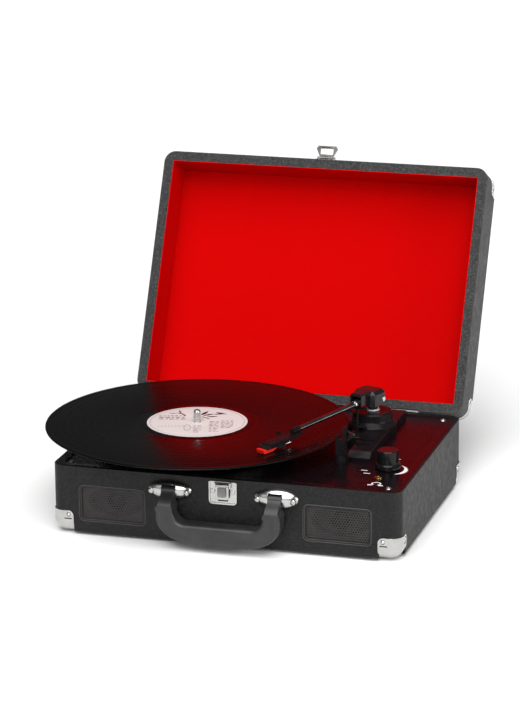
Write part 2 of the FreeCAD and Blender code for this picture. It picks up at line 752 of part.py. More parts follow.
def arm_base():
    """The long plinth that carries the switches, the cue lever and the turret."""
    body = new_body()
    slope = 5
    corners = [
        ("plinth_front", "deck_top"), ("plinth_back", "deck_top"), ("plinth_back", "plinth_top"),
        (f"plinth_front + {slope}", "plinth_top"), ("plinth_front", "deck_top + 2"),
    ]
    sketch = outline(body, "YZ_Plane", corners, "plinth_left")
    pad(body, sketch, "plinth_right - plinth_left")
    round_edges(body, 1, at_height(S.plinth_top))
    base_round = cylinder("arm_x - 1", "arm_y", "deck_top", "turret_flange + 0.6",
                          "plinth_top - deck_top")
    step = edge_blend(
        "Fillet", box(85, 12, "deck_top", "plinth_right - 85", 30, "plinth_top - deck_top"),
        1.5, lambda edge: at_height(S.plinth_top)(edge) or runs(UPRIGHT)(edge),
    )
    slots = [
        box("switch_x - slot_length/2", f"{y} - slot_width/2", "plinth_top - slot_depth",
            "slot_length", "slot_width", "slot_depth + 2")
        for y in ("stop_switch_y", "speed_switch_y")
    ]
    posts = [
        cylinder("arm_x", "arm_y", 60, 5.1, 40),
        cylinder(LIFT_X, LIFT_Y, "plinth_top - 6", 1.4, 20),
    ]
    ears = [
        box(-1.6, f"{side}*3.4 - 0.6", "plinth_top - cue_z - 1", 3.2, 1.2, 5.4) for side in (-1, 1)
    ]
    holder = fuse(*ears, cylinder(0, -3.6, 0, 0.7, 7.2, "Y"))
    holder.Placement = Placement(CUE_POSE)
    return fuse(cut(fuse(body, base_round, step), *slots, *posts), holder)


def from_pivot(distance, turn):
    """A point at a distance from the arm's pivot, turned from the front towards the record."""
    angle = math.radians(turn)
    return S.arm_x - distance * math.sin(angle), S.arm_y - distance * math.cos(angle)


LIFT_X, LIFT_Y = from_pivot(S.lift_radius, 24)
CUE_X, CUE_Y = from_pivot(S.cue_reach, S.cue_turn)
CUE_POSE = Placement(Vector(CUE_X, CUE_Y, S.cue_z), Rotation(UPRIGHT, -90 - S.cue_turn))
node("arm_base", arm_base())
turret = turned([
    (5.1, "plinth_top"), ("turret_flange", "plinth_top"), ("turret_flange", "plinth_top + 1.2"),
    ("turret_radius + 1", "plinth_top + 5"), ("turret_radius", "plinth_top + 7"),
    ("turret_radius", "turret_top - 1.5"), ("turret_radius - 1.5", "turret_top"),
    (5.1, "turret_top"),
])
place(turret, "arm_x", "arm_y", 0)
node("arm_turret", cut(turret, cylinder(LIFT_X, LIFT_Y, "plinth_top - 1", 2.2, 20)))

LIFT_FROM, LIFT_SWEEP = -2, 48
lift_track = cut(
    cylinder("arm_x", "arm_y", "lift_top - 2", "lift_radius + lift_width/2", 2, sector=LIFT_SWEEP),
    cylinder("arm_x", "arm_y", "lift_top - 3", "lift_radius - lift_width/2", 4),
)
lift_track.Placement = Placement(
    Vector(), Rotation(UPRIGHT, -90 - LIFT_FROM - LIFT_SWEEP), Vector(S.arm_x, S.arm_y, 0)
)
node("cue_lift_bar", fuse(
    lift_track, cylinder(LIFT_X, LIFT_Y, "plinth_top - 5", 1.3, "lift_top - plinth_top + 4")
))

lever_arm = box(0, -1.6, -0.9, 9.5, 3.2, 1.8)
lever_arm = edge_blend("Fillet", lever_arm, 0.8, lambda edge: edge.BoundBox.XMin > 9.4)
lever_arm.Placement = Placement(Vector(), Rotation(ALONG_Y, -18))
node("cue_lever", cut(
    fuse(cylinder(0, -2.6, 0, 1.8, 5.2, "Y"), lever_arm),
    cylinder(0, -5, 0, 0.76, 10, "Y"),
), Placement(CUE_POSE))

blade = box("blade_left", "blade_front", "deck_top", "blade_width", "blade_thick",
            "rest_cradle - deck_top")
prong_low = "rest_cradle - 3"
clip_pin = cylinder("clip_x", "blade_front + blade_thick - 1", "clip_z", 0.7, 4.4, "Y")
node("arm_rest_post", fuse(
    cone("rest_x", "rest_y", "deck_top", 7.8, 7.4, 3.6),
    cone("rest_x", "rest_y", "deck_top + 3.6", 6.8, 6.4, 3.2),
    blade,
    box("blade_left", "blade_front", prong_low, 1.9, "blade_thick", 7.2),
    box("blade_left + blade_width - 3.4", "blade_front", prong_low, 3.4, "blade_thick", 16),
    clip_pin,
))


def rest_clip():
    """A flat hooked arm behind the post: from its pin out to the right, then back and up."""
    body = new_body()
    corners = [
        ("clip_x + 1.6", "clip_z - 0.9"), ("clip_x + 9", "clip_z + 7"),
        ("clip_x + 8.4", "clip_z + 8.8"), ("clip_x + 1.2", "clip_z + 12.2"),
        ("clip_x + 0.4", "clip_z + 10.6"), ("clip_x + 6.2", "clip_z + 7.6"),
        ("clip_x - 0.6", "clip_z + 1.6"),
    ]
    pad(body, outline(body, "XZ_Plane", corners, "-(blade_front + blade_thick + 2.8)"), 2.4)
    back = "blade_front + blade_thick + 0.4"
    boss = cylinder("clip_x", back, "clip_z", 1.9, 2.4, "Y")
    return cut(fuse(body, boss), cylinder("clip_x", f"{back} - 2", "clip_z", 0.76, 8, "Y"))


node("arm_rest_clip", rest_clip())


def slider(name, y):
    """A switch button with three grip ridges and a tongue in its slot."""
    left = "switch_x - slot_length/2 + 0.4"
    ridges = [
        box(f"{left} + {0.7 + 1.7 * index}", f"{y} - 2.1", "plinth_top + 2.4", 0.9, 4.2, 0.7)
        for index in range(3)
    ]
    node(name, fuse(
        box(f"{left}", f"{y} - slot_width/2 + 0.2", "plinth_top - slot_depth + 0.4",
            5, "slot_width - 0.4", "slot_depth"),
        box(f"{left}", f"{y} - 2.3", "plinth_top + 0.3", 5.7, 4.6, 2.2),
        *ridges,
    ))


slider("auto_stop_switch", "stop_switch_y")
slider("speed_selector", "speed_switch_y")


# ---- arm -------------------------------------------------------------------------------------

ARM_POSE = Placement(
    Vector(S.arm_x, S.arm_y, S.arm_z), Rotation(UPRIGHT, -90 - S.arm_turn)
)
ARM_DIPPED = ARM_POSE.multiply(Placement(Vector(), Rotation(ALONG_Y, S.arm_dip)))


def arm_housing():
    """A chamfered cap with a floor under the pivot and a hood over the start of the arm."""
    shell = box(
        "housing_back", "-housing_half", "housing_low",
        "housing_front - housing_back", "2*housing_half", "housing_top - housing_low",
    )
    upright = runs(UPRIGHT)
    for size, side in ((5.5, -1), (3.5, 1)):
        shell = edge_blend("Chamfer", shell, size, lambda edge: (
            upright(edge) and edge.BoundBox.YMin * side > S.housing_half - 1
        ))
    shell = edge_blend("Chamfer", shell, 3.2, at_height(S.housing_top))
    hood = box(14, -7, -2.4, "hood_reach - 14", 14, 12.1)
    hood = edge_blend("Chamfer", hood, 1.6, lambda edge: (
        edge.BoundBox.ZMin > 9 and edge.BoundBox.XMax > 15
    ))
    hollow = box("housing_back + 2.5", -9.5, "housing_low + 2", 19, 20, 11)
    mouth = box(8.6, -5.6, "housing_low - 1", 30, 11.2, 13.1)
    screw_hole = cylinder(0, -20, 0, 1.7, 40, "Y")
    return cut(fuse(shell, hood), hollow, mouth, screw_hole)


node("swivel_post", cylinder("arm_x", "arm_y", 62, 5, f"{S.arm_z + S.housing_low} - 62"))
node("swivel_collar", cut(
    cylinder("arm_x", "arm_y", "turret_top + 0.3", 7, 1.4),
    cylinder("arm_x", "arm_y", "turret_top", 5, 4),
))
node("arm_housing", arm_housing(), ARM_POSE)


def pivot_screw(side):
    """A slotless screw through one cheek of the housing, with a thin pin for the arm to tip on."""
    steps = [(4.7, 3, 0.9), (7.5, 6.5, 1.65), ("housing_half", 0.6, 2.4)]
    return fuse(*[
        cylinder(0, f"{side}*({start}) - {0 if side > 0 else length}", 0, radius, length, "Y")
        for start, length, radius in steps
    ])


node("pivot_screws", group(*mirror_x(pivot_screw)), ARM_POSE)

node("arm_pivot_block", cut(
    fuse(
        box(-3, -5.6, -2.6, 14, 11.2, 5.6),
        cylinder(10, 0, 0, "sleeve_radius", 17, "X"),
    ),
    cylinder(8, 0, 0, "tube_radius", 30, "X"),
    cylinder(0, -8, 0, 1, 16, "Y"),
), ARM_DIPPED)
node("arm_tube", cut(
    fuse(
        cylinder(8, 0, 0, "tube_radius", "shell_start + 3 - 8", "X"),
        cylinder(27, 0, 0, "tube_radius + 0.7", 6, "X"),
    ),
    cylinder(7, 0, 0, "tube_radius - 0.8", "shell_start", "X"),
), ARM_DIPPED)

SHELL_POSE = ARM_DIPPED.multiply(
    Placement(Vector(S.shell_start, 0, 0), Rotation(UPRIGHT, -S.shell_offset))
)


def headshell():
    """A low shell hung under the tube's end, with skirts beside the cartridge, and its collar."""
    side = new_body()
    pad(side, outline(side, "XZ_Plane", [
        (-1.5, -2.3), (45, -3.2), (48, -4.6), (48, -6.4), (37, -6.6), (22, -5.8), (-1.5, -5),
    ], -6.4), 12.8)
    round_edges(side, 1.2, lambda edge: edge.BoundBox.ZMin > -3.3 and edge.BoundBox.XLength > 40)
    plan = new_body()
    pad(plan, outline(plan, "XY_Plane", [
        (-1.5, -4.6), (8, -6.4), (43, -6.4), (48, -4.2), (48, 4.2), (43, 6.4), (8, 6.4), (-1.5, 4.6),
    ], -12), 12)
    under = box(5, -5.5, -12, 60, 11, 7.4)
    along_tube = Rotation(UPRIGHT, S.shell_offset)
    start = along_tube.multVec(Vector(-4, 0, 0))
    bore = cylinder(start.x, start.y, 0, "tube_radius + 0.02", 7.1, "X")
    start = along_tube.multVec(Vector(-1, 0, 0))
    collar = cone(start.x, start.y, 0, 3.5, 2.7, 10, "X")
    for item in (collar, bore):
        turned_to_tube = along_tube.multiply(item.Placement.Rotation)
        item.Placement = Placement(item.Placement.Base, turned_to_tube)
    return cut(fuse(cut(common(side, plan), under), collar), bore)


node("headshell", headshell(), SHELL_POSE)
node("cartridge", fuse(
    box(23, -5.4, -10.4, 9.5, 10.8, 5.8),
    box(23, -5.4, -8.3, 26, 10.8, 3.7),
    *[
        cylinder(11, side * 3.2, height, 0.6, 12.5, "X")
        for side in (-1, 1) for height in (-6.6, -8.9)
    ],
), SHELL_POSE)


def stylus():
    """The coloured needle holder, its cantilever and the tip that rests in the groove."""
    body = new_body()
    pad(body, outline(body, "XZ_Plane", [
        (32.6, -8.4), (49.2, -8.4), (49.4, -7.4), (53.5, -7.4), (52, -11.2), (40, -11.3),
    ], -4.8), 9.6)
    rod = cylinder(45, 0, -11.2, 0.35, 7.2, "X")
    tip = cone(51.3, 0, "stylus_drop", 0.1, 0.6, 1.4)
    return fuse(body, rod, tip)


node("stylus", stylus(), SHELL_POSE)
node("finger_lift", fuse(
    box(11, -12.6, -4, 4.5, 6.2, 1.2),
    cylinder(11, -12.6, -2.7, 1.4, 4.5, "X"),
), SHELL_POSE)


# ---- volume knob -----------------------------------------------------------------------------

knob = turned([
    (3, "knob_low"), ("knob_skirt", "knob_low"), ("knob_skirt", "knob_low + 4"),
    ("knob_skirt - 0.8", "knob_low + 5"), ("knob_radius", "knob_low + 5.2"),
    ("knob_radius - 0.5", "knob_top - 0.8"), ("knob_radius - 1.3", "knob_top"),
    (0, "knob_top"), (0, "knob_top - 4"), (3, "knob_top - 4"),
])
place(knob, "knob_x", "knob_y", 0)
pointer_flat = box("knob_x + knob_radius - 1.6", "knob_y - 20", "knob_low + 6.2", 10, 40, 40)
node("volume_knob", cut(knob, pointer_flat))


# ---- handle ----------------------------------------------------------------------------------

def handle_bracket(side):
    """A domed oval plate with its lower middle open, and the bar that the handle hangs on."""
    x = f"{side}*bracket_x"

    def dome(shrink):
        item = doc.addObject("Part::Ellipsoid", "Dome")
        bind(
            item, Radius1=f"bracket_rise - {shrink}", Radius2=f"bracket_width/2 - {shrink}",
            Radius3=f"bracket_tall/2 - {shrink}",
        )
        item.Placement = Placement(Vector(), Rotation(ALONG_X, 90))
        return place(item, x, f"-{HALF_DEPTH}", "bracket_z")

    inside_case = box(f"{x} - 40", f"-{HALF_DEPTH}", 0, 80, 40, 100)
    opening = box(f"{x} - 7.2", f"-{HALF_DEPTH} - 20", "bracket_z - 20", 14.4, 40, 26.2)
    shell = cut(dome(0), dome(1.1), inside_case, opening)
    bar = cylinder(f"{x} - 8.4", "loop_y", "loop_z", "loop_radius", 16.8, "X")
    return fuse(shell, bar)


def rivet(x, z, proud):
    """A flat-domed rivet head standing on a plate on the case's front."""
    head = cylinder(x, f"-{HALF_DEPTH} - {proud}", z, 2.4, proud, "Y")
    return edge_blend("Fillet", head, 0.5, lambda edge: (
        edge.BoundBox.YMax < -S.case_depth / 2 - proud + 0.01
    ))


RIVET_AWAY = 17.7
front_rivets = group(
    *[
        rivet(f"{side}*bracket_x + {step * RIVET_AWAY}", "bracket_z - 1", 5.4)
        for side in (-1, 1) for step in (-1, 1)
    ],
    *[rivet(step * 10, 58, 1.8) for step in (-1, 1)],
)
node("front_rivets", front_rivets)
node("handle_brackets", cut(group(*mirror_x(handle_bracket)), front_rivets))


def handle_outline():
    """The grip's bowed outer face, between its front and its back."""
    body = new_body()
    half, low = S.handle_half, S.handle_low
    pad(body, outline(body, "XZ_Plane", [
        (-half, S.handle_shoulder), (-half, low + 17.8), (-46, low + 4.8), (-16, low),
        (16, low), (46, low + 4.8), (half, low + 17.8), (half, S.handle_shoulder),
    ], -160), 320)
    grip = common(body, box(
        "-handle_half", "handle_back - handle_deep", "handle_low",
        "2*handle_half", "handle_deep", "handle_shoulder - handle_low",
    ))
    for place_x, size in ((half, 22), (46, 36), (16, 110)):
        grip = edge_blend("Fillet", grip, size, lambda edge: (
            runs(ALONG_Y)(edge) and edge.BoundBox.ZMax < S.handle_shoulder - 1
            and abs(abs(edge.BoundBox.Center.x) - place_x) < 0.1
        ))
    return grip


def handle_leg(side):
    """A leg that narrows and leans back from the grip to its bar in the bracket."""
    lean = new_body()
    pad(lean, outline(lean, "YZ_Plane", [
        (-151.4, 40), (-151.4, 43.5), (-149.6, 47), (-144.5, 51), (-140, 53), (-137.4, 56),
        (-132.2, 55.5), (-132.4, 40),
    ], -70), 140)
    taper = new_body()
    pad(taper, outline(taper, "XZ_Plane", [
        (side * x, z) for x, z in (
            (44.9, 40), (44.9, 42), (46.7, 46), (46.7, 57), (59.9, 57), (59.9, 46), (62.3, 42),
            (62.3, 40),
        )[::side]
    ], -160), 320)
    return common(lean, taper)


def handle_grip():
    """A moulded grip with two legs that end in eyes on the bracket bars."""
    window = box(
        "-handle_inner", "handle_back - handle_deep - 5", "handle_low + handle_thick",
        "2*handle_inner", "handle_deep + 10", 100,
    )
    at_window = at_height(S.handle_low + S.handle_thick)
    window = edge_blend("Fillet", window, 12, lambda edge: at_window(edge) and runs(ALONG_Y)(edge))
    grip = cut(handle_outline(), window)
    grip = edge_blend("Fillet", grip, 3.5, lambda edge: (
        abs(edge.BoundBox.YLength) < 0.01 and edge.BoundBox.ZMin < S.handle_shoulder - 0.5
    ))
    eyes = [
        cylinder(f"{side}*bracket_x - 6.6", "loop_y", "loop_z", 4, 13.2, "X") for side in (-1, 1)
    ]
    bores = [
        cylinder(f"{side}*bracket_x - 10", "loop_y", "loop_z", "loop_radius + 0.08", 20, "X")
        for side in (-1, 1)
    ]
    return cut(fuse(grip, *mirror_x(handle_leg), *eyes), *bores)


node("handle_grip", handle_grip())


# ---- latch and hasp --------------------------------------------------------------------------

def latch_plate():
    front = f"-{HALF_DEPTH}"
    tall = "latch_top - latch_low"
    plate = box("-latch_width/2", f"{front} - 2", "latch_low", "latch_width", 2, tall)
    low = at_height(S.latch_low)
    plate = edge_blend("Fillet", plate, 4, lambda edge: low(edge) and runs(ALONG_Y)(edge))
    dish = box(
        "-latch_width/2 + 1.4", f"{front} - 3", "latch_low + 1.4",
        "latch_width - 2.8", 2, f"{tall}",
    )
    ears = mirror_x(lambda side: box(
        f"{side}*(lever_width/2 + 1.1) - 0.7", f"{front} - 4", "latch_top - 5.5", 1.4, 3.2, 5
    ))
    pin = cylinder("-lever_width/2 - 1.6", f"{front} - 3.2", "latch_top - 3", 0.7,
                   "lever_width + 3.2", "X")
    slot = box(-5, f"{front} - 3", "latch_low + 3", 10, 6, 2.4)
    return fuse(cut(plate, dish, slot), *ears, pin)


def latch_lever():
    front = f"-{HALF_DEPTH}"
    plate = box("-lever_width/2", f"{front} - 4.6", "latch_top - 17", "lever_width", 1.6, 14)
    plate = edge_blend("Fillet", plate, 2, lambda edge: (
        runs(ALONG_Y)(edge) and edge.BoundBox.ZMax < S.latch_top - 16
    ))
    panel = box(-4.4, f"{front} - 5", "latch_top - 14.5", 8.8, 0.8, 10)
    barrel = cylinder("-lever_width/2", f"{front} - 3.2", "latch_top - 3", 1.8, "lever_width", "X")
    bore = cylinder("-lever_width", f"{front} - 3.2", "latch_top - 3", 0.76, "2*lever_width", "X")
    return cut(fuse(cut(plate, panel), barrel), bore)


node("latch_plate", cut(latch_plate(), front_rivets))
node("latch_lever", latch_lever())


# ---- lid -------------------------------------------------------------------------------------

LID_POSE = Placement(
    Vector(), Rotation(ALONG_X, -S.lid_open), Vector(0, S.hinge_y, S.hinge_z)
)
RECESS_TOP = f"({LID_LOW}) + lid_height - lid_top"
node("lid_shell", cut(
    case_form(LID_LOW, "lid_height", TOP, LID_LOW),
    cavity(f"({LID_LOW}) - 1", "lid_height - lid_top + 1"), *hinge_grooves(),
), LID_POSE)
node("lid_lining", cut(
    cavity(LID_LOW, "lid_height - lid_top"),
    middle_box(
        0, 0, f"({LID_LOW}) - 1", "case_width - 2*wall - 2*lining",
        "case_depth - 2*wall - 2*lining", "lid_height - lid_top - lining + 1",
    ),
), LID_POSE)
node("lid_corner_guards", corner_guards(
    LID_LOW, "lid_height + guard_thick", TOP + S.guard_thick, f"{TOP - S.guard_reach}",
    TOP - S.guard_reach,
), LID_POSE)
node("lid_guard_nails", nails(f"{TOP - S.guard_reach + 4}"), LID_POSE)


def hinge_leaf(side, upper):
    """One leaf of a hinge: the lid's has the middle knuckle, the case's the two outer ones."""
    x = f"{side}*hinge_x"
    gap = 0.4
    low = "hinge_z + 1" if upper else "hinge_z - 1 - leaf_tall"
    plate = middle_box(x, f"{HALF_DEPTH} + leaf_thick/2", low, "hinge_length", "leaf_thick",
                       "leaf_tall")
    outer_length = f"(hinge_length - middle_knuckle)/2 - {gap}"
    if upper:
        spans = [(f"{x} - middle_knuckle/2", "middle_knuckle")]
        clear = [
            (f"{x} - hinge_length/2 - 1", f"{outer_length} + {1 + gap}"),
            (f"{x} + middle_knuckle/2", f"{outer_length} + {1 + gap}"),
        ]
    else:
        spans = [
            (f"{x} - hinge_length/2", outer_length),
            (f"{x} + middle_knuckle/2 + {gap}", outer_length),
        ]
        clear = [(f"{x} - middle_knuckle/2 - {gap}", f"middle_knuckle + 2*{gap}")]
    barrels = [
        cylinder(start, "hinge_y", "hinge_z", "knuckle_radius", length, "X")
        for start, length in spans
    ]
    webs = [
        box(start, HALF_DEPTH, "hinge_z - 1" if not upper else "hinge_z", length, "leaf_thick", 1)
        for start, length in spans
    ]
    notches = [
        cylinder(start, "hinge_y", "hinge_z", "knuckle_radius + fit_gap", length, "X")
        for start, length in clear
    ]
    bore = cylinder(f"{x} - hinge_length", "hinge_y", "hinge_z", "pin_radius + 0.05",
                    "2*hinge_length", "X")
    return cut(fuse(plate, *barrels, *webs), *notches, bore)


node("hinge_leaves_base", group(*mirror_x(lambda side: hinge_leaf(side, False))))
node("hinge_leaves_lid", group(*mirror_x(lambda side: hinge_leaf(side, True))), LID_POSE)
node("hinge_pins", group(*mirror_x(lambda side: cylinder(
    f"{side}*hinge_x - hinge_length/2 - 0.4", "hinge_y", "hinge_z", "pin_radius",
    "hinge_length + 0.8", "X",
))))


def hasp_plate():
    front = f"-{HALF_DEPTH}"
    plate = box("-hasp_width/2 - 0.5", f"{front} - 1", "hasp_z - 3", "hasp_width + 1", 1, 15)
    plate = edge_blend("Fillet", plate, 2.5, runs(ALONG_Y))
    ears = mirror_x(lambda side: box(
        f"{side}*8.8 - 0.8", "hasp_y - 1.2", "hasp_z - 1.6", 1.6, 3, 3.2
    ))
    pin = cylinder(-9.4, "hasp_y", "hasp_z", 0.7, 18.8, "X")
    return fuse(plate, *ears, pin)


def hasp_loop():
    """An open trapezium frame, wider at its free end, with a barrel on the hasp's pin."""
    body = new_body()
    half = "hasp_width/2"
    tip = "hasp_y - hasp_reach"
    corners = [
        (-7, "hasp_y - 0.4"), (f"-({half})", f"{tip} + 3"), (f"-({half}) + 2", tip),
        (f"{half} - 2", tip), (half, f"{tip} + 3"), (7, "hasp_y - 0.4"),
    ]
    pad(body, outline(body, "XY_Plane", corners, "hasp_z - 1"), 2)
    round_edges(body, 0.6, at_height(S.hasp_z + 1))
    window = box(-7, f"{tip} + 2.8", "hasp_z - 3", 14, 6.4, 6)
    barrel = cylinder(-7, "hasp_y", "hasp_z", 1.4, 14, "X")
    bore = cylinder(-12, "hasp_y", "hasp_z", 0.76, 24, "X")
    hook = box(-6, f"{tip} + 0.4", "hasp_z - 2.6", 12, 1.4, 2)
    return cut(fuse(cut(body, window), barrel, hook), bore)


node("hasp_plate", hasp_plate(), LID_POSE)
node("hasp_loop", hasp_loop(), LID_POSE)


# ---- checks and files ------------------------------------------------------------------------

doc.recompute()
failed = [
    item.Label for item in doc.Objects if "Invalid" in item.State or "Error" in item.State
]
bad = [
    item.Label for item in NODES
    if item.Shape.isNull() or not item.Shape.isValid() or not item.Shape.Solids
]
if failed or bad:
    raise RuntimeError(f"failed objects {failed}, bad shapes {bad}")
os.makedirs("parts", exist_ok=True)
for item in NODES:
    item.Shape.exportStep(f"parts/{item.Label}.step")
    print(f"{item.Label}: {len(item.Shape.Solids)} solid(s), {item.Shape.Volume:.0f} mm3")
print(f"{len(NODES)} nodes")
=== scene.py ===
"""Looks of the suitcase record player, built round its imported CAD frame.

The frame is in metres. Sizes below are in millimetres and go through mm().
"""

import json
import math
import random

import bmesh
import bpy
from mathutils import Matrix, Vector

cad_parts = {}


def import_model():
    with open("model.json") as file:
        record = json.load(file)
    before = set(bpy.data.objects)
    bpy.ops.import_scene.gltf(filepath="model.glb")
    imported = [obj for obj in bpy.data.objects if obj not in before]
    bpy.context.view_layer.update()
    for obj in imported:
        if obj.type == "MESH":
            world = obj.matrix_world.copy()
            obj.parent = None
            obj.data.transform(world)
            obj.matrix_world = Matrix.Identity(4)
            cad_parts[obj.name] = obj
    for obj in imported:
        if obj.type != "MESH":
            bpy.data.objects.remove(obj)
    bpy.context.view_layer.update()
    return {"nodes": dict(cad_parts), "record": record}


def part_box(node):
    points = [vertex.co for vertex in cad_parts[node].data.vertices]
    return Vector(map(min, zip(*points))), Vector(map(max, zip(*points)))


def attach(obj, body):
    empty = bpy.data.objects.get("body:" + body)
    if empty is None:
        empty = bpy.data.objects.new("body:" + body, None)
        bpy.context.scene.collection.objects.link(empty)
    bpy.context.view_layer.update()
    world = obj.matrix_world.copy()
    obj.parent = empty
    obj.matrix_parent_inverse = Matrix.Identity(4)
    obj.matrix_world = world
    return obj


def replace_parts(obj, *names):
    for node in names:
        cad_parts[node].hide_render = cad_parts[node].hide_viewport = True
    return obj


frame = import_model()
NODES = frame["nodes"]
BODY_OF = {
    node: body for body, members in frame["record"]["behaviour"]["bodies"].items()
    for node in members
}
SLOT_OF = {part["node"]: part["material_slot"] for part in frame["record"]["subparts"]}


def mm(*values):
    """Metres from millimetres: a number from one value, a vector from three."""
    return Vector(values) * 0.001 if len(values) > 1 else values[0] * 0.001


def box_mm(node):
    """A CAD node's lowest and highest corners at rest, in millimetres."""
    low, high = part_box(node)
    return low * 1000, high * 1000


def joint_at(name):
    """A point on a joint's axis, in metres."""
    joints = frame["record"]["behaviour"]["joints"]
    return next(Vector(joint["pos_m"]) for joint in joints if joint["name"] == name)


def turned(degrees, axis):
    return Matrix.Rotation(math.radians(degrees), 4, axis)


# Where things lie at rest
CASE_FRONT = box_mm("base_frame")[0].y
SPINDLE = Vector((*joint_at("platter_spin").xy, 0))
HINGE = joint_at("lid_hinge")
LID = Matrix.Translation(HINGE) @ turned(-116, "X") @ Matrix.Translation(-HINGE)
ARM = Matrix.Translation(joint_at("tonearm_lift")) @ turned(-111, "Z") @ turned(1, "Y")
SHELL = ARM @ Matrix.Translation(mm(126, 0, 0)) @ turned(-6, "Z")
ALONG_X = turned(90, "Y")
FACING_FRONT = turned(90, "X")


# ---- materials -------------------------------------------------------------------------------

class Look:
    """One procedural material, with short words for its nodes. Sizes are in millimetres."""

    def __init__(self, name, **fixed):
        self.material = bpy.data.materials.new(name)
        self.material.use_nodes = True
        self.tree = self.material.node_tree
        self.shader = self.tree.nodes["Principled BSDF"]
        for socket, value in fixed.items():
            self.shader.inputs[socket.replace("_", " ")].default_value = value
        self.place = self.add("TexCoord").outputs["Object"]
        self.normal = None

    def add(self, kind, inputs=(), **settings):
        node = self.tree.nodes.new("ShaderNode" + kind)
        for key, value in settings.items():
            setattr(node, key, value)
        for key, value in dict(inputs).items():
            self.feed(node.inputs[key], value)
        return node

    def feed(self, socket, value):
        if isinstance(value, bpy.types.NodeSocket):
            self.tree.links.new(value, socket)
        elif socket.type == "RGBA" and len(value) == 3:
            socket.default_value = (*value, 1)
        else:
            socket.default_value = value

    def scaled(self, x, y, z):
        return self.add("Mapping", {"Vector": self.place, "Scale": (x, y, z)}).outputs[0]

    def noise(self, size, detail=2.0, rough=0.5, place=None):
        inputs = {
            "Vector": place or self.place, "Scale": 1000 / size, "Detail": detail,
            "Roughness": rough,
        }
        return self.add("TexNoise", inputs).outputs["Fac"]

    def cells(self, size, feature):
        inputs = {"Vector": self.place, "Scale": 1000 / size}
        return self.add("TexVoronoi", inputs, feature=feature).outputs["Distance"]

    def span(self, value, low, high, out_low=0.0, out_high=1.0):
        inputs = {
            "Value": value, "From Min": low, "From Max": high, "To Min": out_low,
            "To Max": out_high,
        }
        return self.add("MapRange", inputs).outputs["Result"]

    def times(self, first, second):
        node = self.add("Math", operation="MULTIPLY")
        self.feed(node.inputs[0], first)
        self.feed(node.inputs[1], second)
        return node.outputs[0]

    def mix(self, factor, first, second):
        node = self.add("Mix", data_type="RGBA")
        self.feed(node.inputs[0], factor)
        self.feed(node.inputs[6], first)
        self.feed(node.inputs[7], second)
        return node.outputs[2]

    def set(self, socket, value):
        self.feed(self.shader.inputs[socket], value)

    def bump(self, height, depth):
        inputs = {"Height": height, "Distance": mm(depth)}
        if self.normal is not None:
            inputs["Normal"] = self.normal
        self.normal = self.add("Bump", inputs).outputs["Normal"]
        self.set("Normal", self.normal)


def worn(look, colour, light, rough_low, rough_high, size=12):
    """Slow changes of tone and gloss, as handling leaves them."""
    slow = look.noise(size, 3, 0.6)
    look.set("Base Color", look.mix(look.span(slow, 0.35, 0.7), colour, light))
    fine = look.noise(size / 9, 2, 0.6)
    look.set("Roughness", look.span(fine, 0.3, 0.75, rough_low, rough_high))


def leather(name, colour, light):
    """Embossed leatherette: pebbles with creases between them, and finer pores."""
    look = Look(name, Specular_IOR_Level=0.26)
    grain, depth, rough = 1.7, 0.24, 0.52
    pebble = look.cells(grain, "SMOOTH_F1")
    # The colour is painted darker in the creases between pebbles, as their shade, and lighter in random
    # speckles, partly real tone and partly painted highlight of the grain.
    crease_shade = look.span(look.cells(grain, "DISTANCE_TO_EDGE"), 0.0, 0.28)
    tone = look.span(look.noise(grain * 1.6, 3, 0.8), 0.38, 0.64)
    look.set("Base Color", look.mix(look.times(tone, crease_shade), colour, light))
    look.set("Roughness", look.span(look.noise(grain * 4, 3), 0.3, 0.7, rough - 0.07, rough + 0.07))
    look.bump(pebble, -depth)
    look.bump(look.noise(grain / 2.6, 2), depth * 0.5)
    return look.material


def moulded(name, colour, light, rough, grain=0.45, depth=0.012, **fixed):
    """Injection-moulded plastic with a spark-eroded texture."""
    look = Look(name, **fixed)
    worn(look, colour, light, rough - 0.06, rough + 0.06)
    look.bump(look.noise(grain, 2, 0.6), depth)
    return look.material


def gloss(name, colour, light, rough):
    """Shiny plastic, very slightly wavy."""
    look = Look(name, Coat_Weight=0.16, Coat_Roughness=0.05, Specular_IOR_Level=0.16)
    worn(look, colour, light, rough - 0.03, rough + 0.05, 18)
    look.bump(look.noise(9, 2), 0.02)
    return look.material


def metal(name, colour, light, rough):
    """Polished or plated metal with fine marks."""
    look = Look(name, Metallic=1.0)
    marks = look.noise(0.8, 4, 0.7)
    look.set("Base Color", look.mix(look.span(look.noise(14, 3), 0.35, 0.7), colour, light))
    look.set("Roughness", look.span(marks, 0.3, 0.7, rough * 0.75, rough * 1.3))
    look.bump(marks, 0.004)
    return look.material


def wood_board(name, colour, light):
    """Raw board with its grain along X."""
    look = Look(name, Roughness=0.75)
    grain = look.noise(1.6, 4, 0.7, look.scaled(0.12, 1, 1))
    look.set("Base Color", look.mix(look.span(grain, 0.3, 0.7), colour, light))
    look.bump(grain, 0.05)
    return look.material


def felt_red():
    """The lid's lining: thin flocked cloth with a fine weave under it."""
    look = Look("red_lining", Specular_IOR_Level=0.02)
    look.set("Base Color", look.mix(
        look.span(look.noise(1.1, 3, 0.7), 0.3, 0.7), (0.405, 0.0, 0.0), (0.45, 0.0, 0.0002)
    ))
    look.set("Roughness", look.span(look.noise(0.9, 2), 0.3, 0.7, 0.62, 0.8))
    look.bump(look.noise(0.7, 3, 0.7), 0.03)
    look.bump(look.noise(60, 2), 0.25)
    return look.material


